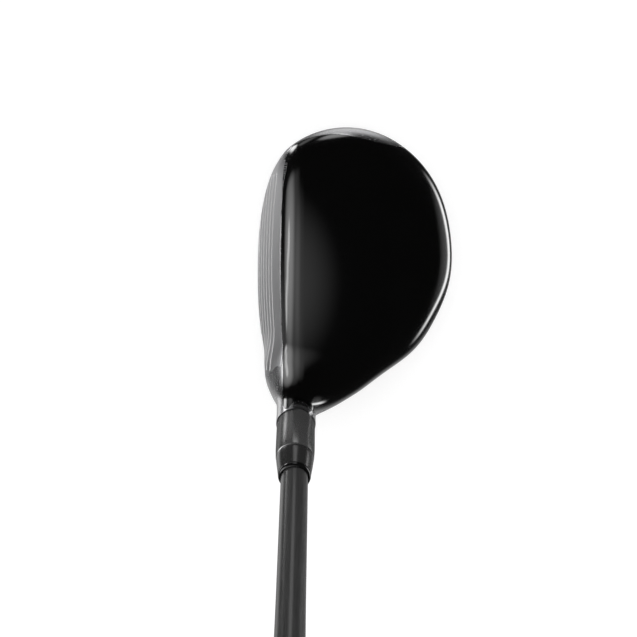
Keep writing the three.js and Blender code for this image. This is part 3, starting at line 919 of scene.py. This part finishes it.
def paper_tape():
    finish = Finish("Paper grip tape")
    weave = finish.effect(GRAIN, Stretch=(500, 160, 160), Detail=5.0, Contrast=1.4)
    finish.blend_colour(weave.outputs["Mask"], (0.55, 0.5, 0.38), (0.72, 0.67, 0.53))
    finish.span_roughness(weave.outputs["Mask"], 0.8, 0.95)
    finish.bump(weave.outputs["Mask"], 0.5)
    return finish.material


# ---- Head ----

SEAM = 0.03
BODY_WALL = 1.35
CROWN_WALL = 1.1
FACE_WALL = 2.5
BADGE_WALL = 0.7
SEAM_BEVEL = 0.05
PORT_BEVEL = 0.25


HEAD_LOW = (-30, -72, -3)
HEAD_HIGH = (52, 57, 54)


def head_net():
    """The head's whole outer surface, up to the neck's mouth."""
    points, quads = net_of_surface(head_field, HEAD_LOW, HEAD_HIGH, HEAD_GRID)
    points = evened(head_field, points, quads)
    below_mouth = grown(lambda p: -mouth_region(p), -PORT_BEVEL)
    return cut_skin(points, quads.tolist(), below_mouth, head_field)


def build_body(net, steel):
    """The casting: the head's surface with all its openings, given a wall."""
    points, faces = net
    openings = [
        (crown_region, SEAM + SEAM_BEVEL), (face_region, SEAM + SEAM_BEVEL),
        (badge_region, SEAM + SEAM_BEVEL), (weight_region, SEAM_BEVEL),
        (port_region, SEAM_BEVEL), (window_region, SEAM_BEVEL),
    ]
    for region, margin in openings:
        points, faces = cut_skin(points, faces, outside(region, margin), head_field)
    points, faces, normals = thick_shell(points, faces, head_field, BODY_WALL, SEAM_BEVEL)
    node_piece("head_body", points, faces, "head", steel, normals)


def build_crown(net, gloss):
    """The thin black shell that closes the casting."""
    region = grown(crown_region, -(SEAM + SEAM_BEVEL))
    points, faces = cut_skin(*net, region, head_field)
    points, faces, normals = thick_shell(points, faces, head_field, CROWN_WALL, SEAM_BEVEL)
    node_piece("crown_shell", points, faces, "head", gloss, normals)


def build_badge(net, black):
    """The moulded badge, let into the sole."""
    region = grown(badge_region, -(SEAM + SEAM_BEVEL))
    points, faces = cut_skin(*net, region, head_field)
    points, faces, _ = thick_shell(points, faces, head_field, BADGE_WALL, SEAM_BEVEL)
    node_piece("sole_badge", points, faces, "head", black)


SCORE_FIRST = 9.8
SCORE_PITCH = 3.54
SCORE_COUNT = 5
SCORE_HALF = 0.45
SCORE_FLOOR = 0.3
SCORE_DEPTH = 0.25
SCORE_ENDS = (-38.0, 35.0)
SCORE_CLEAR = 0.2
SCORE_LIP = 0.06
# Start, end and step of the face insert's grid, before it is cut to its outline
FACE_ACROSS = (-48.4, 44.5, 0.9)
FACE_UPWARDS = (4.0, 36.0, 0.8)


def score_depth(across, height):
    """How deep the face is cut at each place on it."""
    depth = np.zeros_like(across)
    beyond = np.maximum(SCORE_ENDS[0] - across, across - SCORE_ENDS[1])
    for i in range(SCORE_COUNT):
        off = np.maximum(np.abs(height - SCORE_FIRST - i * SCORE_PITCH), SCORE_FLOOR + beyond)
        share = np.clip((SCORE_HALF - off) / (SCORE_HALF - SCORE_FLOOR), 0, 1)
        depth = np.maximum(depth, share * SCORE_DEPTH)
    return depth


def face_heights():
    """Even rows up the face, with rows of their own at the edges of each score line."""
    heights = list(np.arange(*FACE_UPWARDS))
    for i in range(SCORE_COUNT):
        centre = SCORE_FIRST + i * SCORE_PITCH
        heights = [h for h in heights if abs(h - centre) > SCORE_HALF + SCORE_CLEAR]
        for off in (SCORE_HALF + SCORE_LIP, SCORE_HALF, SCORE_FLOOR):
            heights += [centre - off, centre + off]
    return np.array(sorted(heights))


def build_face(steel, milled):
    """The face insert, with its score lines cut in."""
    heights = face_heights()
    across = np.arange(*FACE_ACROSS)
    u, v = [a.ravel() for a in np.meshgrid(across, heights, indexing="ij")]
    points = FACE_ORIGIN + np.outer(u, [0, 1, 0]) + np.outer(v, FACE_UP)
    for _ in range(12):
        here = head_field(points)
        ahead = (head_field(points + 0.02 * FACE_IN) - here) / 0.02
        points = points - np.outer(here / np.minimum(ahead, -0.25), FACE_IN)
    rows, columns = len(heights), len(across)
    start = (np.arange(columns - 1)[:, None] * rows + np.arange(rows - 1)).ravel()
    quads = np.column_stack([start, start + 1, start + rows + 1, start + rows])
    region = grown(face_region, -(SEAM + SEAM_BEVEL))
    points, faces = cut_skin(points, quads.tolist(), region, head_field, snap=0.0)
    height = (points - FACE_ORIGIN) @ FACE_UP
    depth = score_depth(points[:, 1], height)
    dug = points + np.outer(depth, FACE_IN)
    front = len(points)
    points, faces, _ = thick_shell(points, faces, head_field, FACE_WALL, SEAM_BEVEL)
    points[:front] = dug
    piece = node_piece("face_plate", points, faces, "head", steel, sharp=24)
    piece.data.materials.append(milled)
    cut = np.concatenate([depth, np.zeros(len(points) - front)]) > SCORE_DEPTH / 4
    for polygon in piece.data.polygons:
        if cut[list(polygon.vertices)].sum() >= 2:
            polygon.material_index = 1


SCREW_HOLE = 2.9
TUBE_RADIUS = 7.0


def build_hosel_tube(steel):
    """The inside of the hosel: its bore, its floor, and the screw port below it."""
    points, faces = turned_parts([
        (SCREW_HOLE, HOSEL_FLOOR), (HOSEL_BORE, HOSEL_FLOOR),
        (HOSEL_BORE, NECK_MOUTH - WINDOW_DEPTH - 0.3), (TUBE_RADIUS, 43.6), (TUBE_RADIUS, 8.6),
        (SCREW_PORT, 5.0), (SCREW_PORT, SCREW_SEAT), (SCREW_HOLE, SCREW_SEAT),
    ], ring=True)
    faces = [face[::-1] for face in faces]
    make_piece("hosel_tube", points, faces, "head", steel)


def build_weight_cup(steel):
    """The threaded cup that the sole weight screws into."""
    outer, step = WEIGHT_RADIUS + 1.6, WEIGHT_RADIUS - 1.6
    points, faces = turned_parts([
        (0, 6.4), (step, 6.4), (step, 5.4), (WEIGHT_BORE, 5.4), (WEIGHT_BORE, 0.9), (outer, 1.2),
        (outer, 8.2), (0, 8.2),
    ], place=weight_place())
    faces = [face[::-1] for face in faces if len(face) < 6]
    make_piece("weight_cup", points, faces, "head", steel)


def lobed(reach, angle):
    """Radius of a six-lobed driver socket."""
    return reach * (0.87 + 0.13 * np.cos(6 * angle))


def socketed(corners, socket_radius, depth, place, segments=96):
    """A turned fastener whose flat outer end, at the profile's start, has a six-lobed socket."""
    profile = rounded_profile(corners)
    face_height = profile[0][1]
    angle = np.arange(segments) / segments * 2 * math.pi
    # Out of the socket, from the middle of its coned floor to its chamfered mouth.
    socket = [(0.02, depth + 0.8), (0.8, depth), (1.0, depth - 0.2), (1.0, 0.15), (1.07, 0.0)]
    rings = []
    for swell, height in socket:
        reach = lobed(np.full(segments, socket_radius * swell), angle)
        rings.append(np.column_stack([
            reach * np.cos(angle), reach * np.sin(angle), np.full(segments, face_height + height),
        ]))
    rings += rings_from(profile, segments)
    points, faces = stacked(rings)
    return placed(points, place), faces


INSERT_BORE = 4.5
INSERT_RADIUS = 5.65
INSERT_ENDS = (24.6, 30.2)
SPLINES = 12
SPLINE_DEPTH = 0.5


def spline_teeth(angle):
    """How far each angle is up a spline's tooth: 0 in its valley, 1 on its top."""
    return np.clip(0.5 + 1.6 * np.cos(SPLINES * angle), 0, 1)


def build_insert(alloy):
    """The ring in the hosel whose splines index the sleeve."""
    def splined(reach, _height, angle):
        return np.where(reach < 5, INSERT_BORE + SPLINE_DEPTH * spline_teeth(angle), reach)

    low, high = INSERT_ENDS
    shoulder = INSERT_RADIUS - 0.25
    points, faces = turned_parts([
        (INSERT_BORE, low), (shoulder, low), (INSERT_RADIUS, low + 0.3),
        (INSERT_RADIUS, high - 0.3), (shoulder, high), (INSERT_BORE, high),
    ], segments=192, swing=splined, ring=True)
    node_piece("hosel_insert", points, faces, "head", alloy)


RETAINER_RADII = (2.75, 5.6)
RETAINER_ENDS = (22.75, 23.9)


def build_retainer(nylon):
    """The soft ring that keeps the screw from falling out."""
    inside, outside = RETAINER_RADII
    low, high = RETAINER_ENDS
    edge = 0.2
    points, faces = turned_parts([
        (inside, low), (outside - edge, low), (outside, low + edge), (outside, high - edge),
        (outside - edge, high), (inside, high),
    ], ring=True)
    node_piece("screw_retainer", points, faces, "head", nylon)


WASHER_RADII = (2.7, 4.3)
WASHER_ENDS = (18.5, 19.8)


def build_washer(steel):
    """The washer between the screw's head and its seat, coned at its upper edge."""
    inside, outside = WASHER_RADII
    low, high = WASHER_ENDS
    points, faces = turned_parts([
        (inside, low), (outside, low, 0.2), (outside, high - 0.5, 0.2),
        (outside - 0.4, high, 0.1), (inside, high),
    ], ring=True)
    node_piece("screw_washer", points, faces, "screw_carrier", steel)


SCREW_FACE = 14.6
SCREW_HEAD_TOP = 18.2
SCREW_TIP = 31.4
SCREW_HEAD = 4.0
SCREW_SHANK = 2.5
SCREW_SOCKET = (2.5, 2.3)
THREAD_ENDS = (21.0, 30.6)
THREAD_ROOT = 2.12
THREAD_PITCH = 0.8


def build_screw(black_oxide):
    """The screw up through the hosel's floor into the sleeve."""
    thread = []
    height, end = THREAD_ENDS
    while height < end:
        thread += [(SCREW_SHANK, height), (THREAD_ROOT, height + THREAD_PITCH / 2)]
        height += THREAD_PITCH
    profile = [
        (SCREW_HEAD - 0.5, SCREW_FACE), (SCREW_HEAD, SCREW_FACE + 0.5),
        (SCREW_HEAD, SCREW_HEAD_TOP), (SCREW_SHANK, SCREW_HEAD_TOP), *thread,
        (1.9, SCREW_TIP), (AXIS_RADIUS, SCREW_TIP),
    ]
    points, faces = socketed(profile, *SCREW_SOCKET, line_place())
    node_piece("retaining_screw", points, faces, "screw", black_oxide)


WEIGHT_FACE = 0.2
WEIGHT_TOP = 4.4
WEIGHT_SOCKET = (3.0, 2.8)
SEAL_RING = (5.6, 4.95)
SEAL_THICKNESS = 0.36


def build_weight(steel):
    """The sole weight, turned in from below by its socket."""
    edge = WEIGHT_RADIUS - 0.3
    points, faces = socketed([
        (edge - 0.5, WEIGHT_FACE), (edge, WEIGHT_FACE + 0.15), (WEIGHT_RADIUS, WEIGHT_FACE + 0.55),
        (WEIGHT_RADIUS, WEIGHT_TOP - 0.2), (edge, WEIGHT_TOP), (AXIS_RADIUS, WEIGHT_TOP),
    ], *WEIGHT_SOCKET, weight_place())
    node_piece("sole_weight", points, faces, "weight", steel)


def build_seal(rubber_black):
    """A ring of round section between the weight and the floor of its cup."""
    around = np.arange(16) / 16 * 2 * math.pi
    circle = [
        (SEAL_RING[0] + SEAL_THICKNESS * math.cos(t), SEAL_RING[1] + SEAL_THICKNESS * math.sin(t))
        for t in around
    ]
    points, faces = stacked(rings_from(circle, 96), closed=True)
    points = placed(points, weight_place())
    node_piece("weight_seal", points, faces, "weight_carrier", rubber_black)


# ---- Shaft assembly ----


def shaft_radius(along):
    """Radius of the shaft at a distance along its line."""
    share = max(along - TAPER_START, 0) / (SHAFT_BUTT - TAPER_START)
    return SHAFT_TIP_RADIUS + (SHAFT_BUTT_RADIUS - SHAFT_TIP_RADIUS) * share


SLEEVE_FOOT = 24.4
SLEEVE_SPLINE_TOP = 30.7
SLEEVE_THREAD = 2.65
SLEEVE_VALLEY = 4.3
SLEEVE_SPLINE = 4.85
SLEEVE_STEM = 5.55
SLEEVE_BARREL = 6.9
SLEEVE_SOCKET = 4.8


def build_sleeve(metal):
    """The adapter sleeve: splined foot, stem in the hosel, and the barrel that shows."""
    def splined(reach, height, angle):
        rim = SLEEVE_VALLEY + (SLEEVE_SPLINE - SLEEVE_VALLEY) * spline_teeth(angle)
        toothed = (height < SLEEVE_SPLINE_TOP) & (reach > 4)
        return np.where(toothed, rim * reach / SLEEVE_SPLINE, reach)

    corners = [
        (SLEEVE_THREAD, SLEEVE_FOOT), (4.6, SLEEVE_FOOT), (SLEEVE_SPLINE, SLEEVE_FOOT + 0.3),
        (SLEEVE_SPLINE, SLEEVE_SPLINE_TOP - 0.1), (SLEEVE_STEM, SLEEVE_SPLINE_TOP + 0.1),
        (SLEEVE_STEM, SLEEVE_BASE), (SLEEVE_BARREL, SLEEVE_BASE, 0.35), (SLEEVE_BARREL, 62.5, 1.5),
        (6.74, SLEEVE_TOP - 0.35, 0.1), (6.45, SLEEVE_TOP, 0.05), (SLEEVE_SOCKET, SLEEVE_TOP),
        (SLEEVE_SOCKET, SHAFT_TIP - 0.3), (SLEEVE_THREAD, SHAFT_TIP - 0.3),
    ]
    points, faces = turned_parts(corners, 192, splined, ring=True)
    node_piece("adapter_sleeve", points, faces, "shaft_assembly", metal, sharp=28)


FERRULE_BORE = 4.78


def build_ferrule(plastic):
    """The tapered trim between sleeve and shaft."""
    points, faces = turned_parts([
        (FERRULE_BORE, FERRULE_BASE), (6.3, FERRULE_BASE), (6.6, FERRULE_BASE + 0.25, 0.15),
        (6.35, 70.5, 1.5), (5.72, FERRULE_TOP), (FERRULE_BORE, FERRULE_TOP),
    ], 128, ring=True)
    node_piece("ferrule", points, faces, "shaft_assembly", plastic)


def build_ferrule_ring(plastic):
    """The dark ring that ends the ferrule."""
    base = FERRULE_TOP + 0.1
    points, faces = turned_parts([
        (FERRULE_BORE, base), (5.66, base, 0.1), (5.7, RING_TOP - 0.7, 0.6),
        (5.2, RING_TOP, 0.4), (FERRULE_BORE, RING_TOP),
    ], 128, ring=True)
    node_piece("ferrule_ring", points, faces, "shaft_assembly", plastic)


def build_shaft(finish):
    """The hollow shaft, straight through the sleeve and then widening to its butt."""
    stations = [SHAFT_TIP, SHAFT_TIP + 0.4, *np.linspace(TAPER_START, SHAFT_BUTT - 0.3, 40)]
    out = [(shaft_radius(s), s) for s in stations]
    out[0] = (SHAFT_TIP_RADIUS - 0.3, SHAFT_TIP)
    out.append((shaft_radius(SHAFT_BUTT) - 0.3, SHAFT_BUTT))
    back = [(shaft_radius(s) - SHAFT_WALL, s) for s in (SHAFT_BUTT, TAPER_START, SHAFT_TIP)]
    points, faces = turned_parts(out + back, 128, ring=True)
    node_piece("shaft", points, faces, "shaft_assembly", finish, sharp=20)


PLUG_RADIUS = 3.4
PLUG_ENDS = (37.5, 50.0)


def build_swing_weight(brass):
    """The plug in the shaft's tip."""
    low, high = PLUG_ENDS
    points, faces = turned_parts([
        (AXIS_RADIUS, low), (PLUG_RADIUS - 0.2, low), (PLUG_RADIUS, low + 0.3),
        (PLUG_RADIUS, high - 1), (PLUG_RADIUS - 0.4, high), (AXIS_RADIUS, high),
    ])
    node_piece("swing_weight", points, faces, "shaft_assembly", brass)


def grip_thickness(along):
    """Wall of the grip: thin at its mouth, thicker up the shaft, with a swell at its end."""
    share = (along - GRIP_MOUTH) / (SHAFT_BUTT - GRIP_MOUTH)
    return 1.6 + 3.1 * share + 0.9 * max(share - 0.85, 0) / 0.15


LATTICE_TWIST = 5
LATTICE_PITCH = 11.0
LATTICE_HALF_WIDTH = 0.08
LATTICE_DEPTH = 0.45
GRIP_COLLARS = (14, 22)
GRIP_COLLAR_FADE = 3


def moulded_pattern(along, angle):
    """Depth of the grip's moulded grooves: a plain diamond lattice between smooth collars."""
    lean = along / LATTICE_PITCH
    turned = LATTICE_TWIST * angle / (2 * math.pi)
    left = np.abs(np.mod(turned + lean, 1) - 0.5)
    right = np.abs(np.mod(turned - lean, 1) - 0.5)
    groove = np.clip(1 - np.minimum(left, right) / LATTICE_HALF_WIDTH, 0, 1)
    low, high = GRIP_COLLARS
    inward = min(along - GRIP_MOUTH - low, SHAFT_BUTT - high - along)
    return LATTICE_DEPTH * groove * np.clip(inward / GRIP_COLLAR_FADE, 0, 1)


def build_grip(rubber_black):
    """The grip, with its moulded lattice and a smooth inside."""
    step = 1.0
    segments = 160
    profile = [(shaft_radius(GRIP_MOUTH) + 1.1, GRIP_MOUTH)]
    for along in np.arange(GRIP_MOUTH + 0.5, SHAFT_BUTT - 0.2, step):
        profile.append((shaft_radius(along) + grip_thickness(along), along))
    profile.append((shaft_radius(SHAFT_BUTT) + grip_thickness(SHAFT_BUTT), SHAFT_BUTT))

    def moulded(reach, along, angle):
        return reach - moulded_pattern(along, angle)

    rings = rings_from(profile, segments, moulded)
    inside = [(shaft_radius(s) + 0.5, s) for s in (SHAFT_BUTT, GRIP_MOUTH)]
    rings += rings_from(inside, segments)
    points, faces = stacked(rings, closed=True)
    points = placed(points, line_place())
    node_piece("grip", points, faces, "shaft_assembly", rubber_black)


CAP_RADIUS = 13.4
CAP_PLUG = (6.2, 11.0)
CAP_VENT = 1.3
CAP_GROOVE = (8.0, 9.2)


def build_grip_cap(rubber_black):
    """The cap on the grip's end: a plug into the shaft, a round groove, and a vent hole."""
    base = SHAFT_BUTT + 0.3
    plug, depth = CAP_PLUG
    inner, outer = CAP_GROOVE
    floor = CLUB_LENGTH - 0.4
    points, faces = turned_parts([
        (CAP_VENT, base - depth), (plug - 0.5, base - depth, 0.3), (plug, base - 0.01),
        (CAP_RADIUS - 0.3, base, 0.3), (CAP_RADIUS, base + 1.2, 0.8),
        (CAP_RADIUS - 1, CLUB_LENGTH - 0.5, 0.6), (11.0, CLUB_LENGTH), (outer, CLUB_LENGTH),
        (outer - 0.2, floor), (inner + 0.2, floor), (inner, CLUB_LENGTH),
        (CAP_VENT + 0.7, CLUB_LENGTH), (CAP_VENT, CLUB_LENGTH - 0.5),
    ], 128, ring=True)
    node_piece("grip_cap", points, faces, "shaft_assembly", rubber_black)


def build_grip_tape(tape):
    """The double-sided tape between shaft and grip."""
    ends = (GRIP_MOUTH + 4, SHAFT_BUTT - 1)
    profile = [(shaft_radius(s) + 0.4, s) for s in ends]
    profile += [(shaft_radius(s) + 0.1, s) for s in reversed(ends)]
    points, faces = turned_parts(profile, 96, ring=True)
    node_piece("grip_tape", points, faces, "shaft_assembly", tape)


# ---- Camera, floor and light ----

CAMERA_PLACE = (0.9, -19.0, 570.0)
CAMERA_LENS = 83.0
CAMERA_SHIFT = -0.0102
FLOOR_HALF = 40.0
FLOOR_GLOW = 0.64


def build_camera():
    """Straight above the head, as a player sees it, with the toe at the top of the frame."""
    data = bpy.data.cameras.new("Camera")
    data.lens = CAMERA_LENS
    data.shift_x = CAMERA_SHIFT
    camera = bpy.data.objects.new("Camera", data)
    camera.location = [v * MM for v in CAMERA_PLACE]
    camera.rotation_euler = (0, 0, 0)
    bpy.context.scene.collection.objects.link(camera)
    bpy.context.scene.camera = camera


def build_floor():
    """A plain pale floor that glows a little, left out of the gloss."""
    mesh = bpy.data.meshes.new("floor")
    signs = [(-1, -1), (1, -1), (1, 1), (-1, 1)]
    corners = [(x * FLOOR_HALF, y * FLOOR_HALF, 0) for x, y in signs]
    mesh.from_pydata(corners, [], [(0, 1, 2, 3)])
    finish = Finish("Pale floor", Roughness=0.95, Specular_IOR_Level=0.1,
                    Emission_Color=(1, 1, 1, 1), Emission_Strength=FLOOR_GLOW)
    soft = finish.effect(GRAIN, Stretch=even(3), Detail=2.0, Contrast=0.5)
    finish.blend_colour(soft.outputs["Mask"], even(0.5), even(0.52))
    mesh.materials.append(finish.material)
    floor = bpy.data.objects.new("floor", mesh)
    bpy.context.scene.collection.objects.link(floor)
    floor.visible_glossy = False


class Sky:
    """The studio round the club, painted by direction for what the gloss reflects."""

    def __init__(self, base):
        world = bpy.data.worlds.new("Studio")
        bpy.context.scene.world = world
        world.use_nodes = True
        self.world = world
        self.tree = world.node_tree
        self.tree.nodes.clear()
        place = self.tree.nodes.new("ShaderNodeTexCoord")
        unit_way = self.tree.nodes.new("ShaderNodeVectorMath")
        unit_way.operation = "NORMALIZE"
        self.tree.links.new(place.outputs["Generated"], unit_way.inputs[0])
        self.way = unit_way.outputs[0]
        self.total = base

    def math(self, operation, first, second):
        node = self.tree.nodes.new("ShaderNodeMath")
        node.operation = operation
        for socket, value in zip(node.inputs, (first, second)):
            if isinstance(value, (int, float)):
                socket.default_value = value
            else:
                self.tree.links.new(value, socket)
        return node.outputs[0]

    def toward(self, direction):
        """How far the way looked is along a direction: 1 straight at it, 0 square to it."""
        node = self.tree.nodes.new("ShaderNodeVectorMath")
        node.operation = "DOT_PRODUCT"
        node.inputs[1].default_value = direction
        self.tree.links.new(self.way, node.inputs[0])
        return node.outputs["Value"]

    def step(self, value, low, high, strength=1.0):
        """A smooth rise from nothing at low to its strength at high."""
        node = self.tree.nodes.new("ShaderNodeMapRange")
        node.interpolation_type = "SMOOTHSTEP"
        ends = (low, high, 0.0, strength)
        for socket, setting in zip(("From Min", "From Max", "To Min", "To Max"), ends):
            node.inputs[socket].default_value = setting
        self.tree.links.new(value, node.inputs["Value"])
        return node.outputs["Result"]

    def add(self, strength):
        self.total = self.math("ADD", self.total, strength)

    def add_softbox(self, zenith, bearing, inner, outer, strength):
        """A round soft light: full within the inner angle, gone beyond the outer one."""
        near = self.toward(way_from(zenith, bearing))
        self.add(self.step(near, cosine(outer), cosine(inner), strength))

    def add_strip(self, zeniths, bearing, spread, strength):
        """A level strip light: zeniths where it starts, is full, stays full and ends, and how
        far each side of its bearing it is full and gone."""
        start, full, still, end = zeniths
        up = self.toward((0, 0, 1))
        level = self.math("MULTIPLY", self.step(up, cosine(end), cosine(still)),
                          self.step(self.math("MULTIPLY", up, -1.0), -cosine(start), -cosine(full)))
        side = self.toward(way_from((full + still) / 2, bearing))
        around = self.step(side, cosine(spread[1]), cosine(spread[0]), strength)
        self.add(self.math("MULTIPLY", level, around))


def way_from(zenith, bearing):
    """A unit direction from its angle below straight up and its bearing from +X, in degrees."""
    z, b = math.radians(zenith), math.radians(bearing)
    return (math.sin(z) * math.cos(b), math.sin(z) * math.sin(b), math.cos(z))


def cosine(degrees):
    return math.cos(math.radians(degrees))


SKY_DARK = 0.02
ROOM_LIGHT = 1.15
# Each light's angle below straight up, its bearing, where it starts to fade and ends, strength
SOFTBOXES = [
    (87, 187, 1, 7, 5.0),
    (80, 180, 1, 7, 4.5),
    (75, 172, 1, 7, 5.0),
    (72, 176, 0, 32, 2.8),
    (46, 180, 0, 42, 0.88),
    (14, 200, 0, 38, 0.68),
    (129, 130, 1, 8, 5.0),
    (112, 3, 4, 26, 0.5),
    (104, 88, 3, 12, 2.2),
    (180, 0, 15, 48, 0.45),
    (152, 184, 10, 30, 0.2),
    (143, 160, 4, 13, 0.95),
    (132, 84, 6, 20, 0.95),
    (112, 200, 8, 24, 0.4),
    (120, 111, 3, 10, 0.45),
    (122, 66, 3, 10, 0.15),
]
RIM_STRIP = ((113, 119, 122, 127), 0, (12, 34), 6.5)


def build_sky():
    """Even white light for the camera and for matt surfaces, and the painted lights for gloss."""
    sky = Sky(SKY_DARK)
    for softbox in SOFTBOXES:
        sky.add_softbox(*softbox)
    sky.add_strip(*RIM_STRIP)
    tree = sky.tree
    light_path = tree.nodes.new("ShaderNodeLightPath")
    painted = tree.nodes.new("ShaderNodeBackground")
    tree.links.new(sky.total, painted.inputs["Strength"])
    white = tree.nodes.new("ShaderNodeBackground")
    white.inputs["Strength"].default_value = ROOM_LIGHT
    mix = tree.nodes.new("ShaderNodeMixShader")
    out = tree.nodes.new("ShaderNodeOutputWorld")
    tree.links.new(light_path.outputs["Is Glossy Ray"], mix.inputs[0])
    tree.links.new(white.outputs[0], mix.inputs[1])
    tree.links.new(painted.outputs[0], mix.inputs[2])
    tree.links.new(mix.outputs[0], out.inputs["Surface"])
    sky.world.cycles.sampling_method = "NONE"


def build_head():
    steel = satin_steel()
    net = head_net()
    build_body(net, steel)
    build_crown(net, crown_gloss())
    build_badge(net, rubber("Moulded badge black", 0.02, 0.45))
    build_face(face_steel(), milled_steel())
    build_hosel_tube(steel)
    build_weight_cup(steel)
    ballast = frame["nodes"]["ballast_pad"]
    ballast.data.materials.clear()
    ballast.data.materials.append(sintered_metal("Sintered tungsten", 0.3, 0.5))


def build_hardware():
    build_insert(plain_metal("Machined insert alloy", (0.6, 0.61, 0.62), 0.35, LINE))
    build_retainer(rubber("Black nylon", 0.02, 0.5))
    build_washer(plain_metal("Turned washer steel", (0.5, 0.5, 0.5), 0.32, LINE))
    build_screw(plain_metal("Black oxide steel", (0.09, 0.09, 0.095), 0.38, LINE))
    build_weight(plain_metal("Turned weight steel", (0.48, 0.48, 0.49), 0.3, WEIGHT_OUT))
    build_seal(rubber("Black seal rubber", 0.015, 0.6))


def build_shaft_assembly():
    build_sleeve(dark_anodised())
    build_ferrule(polished_plastic("Ferrule plastic", 0.02, 0.2, 0.28))
    build_ferrule_ring(polished_plastic("Trim ring plastic", 0.004, 0.12, 0.18))
    build_shaft(graphite())
    build_swing_weight(plain_metal("Brass plug", (0.6, 0.5, 0.28), 0.35, LINE))
    build_grip(rubber("Grip rubber", 0.018, 0.75))
    build_grip_cap(rubber("Cap rubber", 0.018, 0.65))
    build_grip_tape(paper_tape())


bpy.context.scene.view_settings.view_transform = "Standard"
build_camera()
build_floor()
build_sky()
build_head()
build_hardware()
build_shaft_assembly()
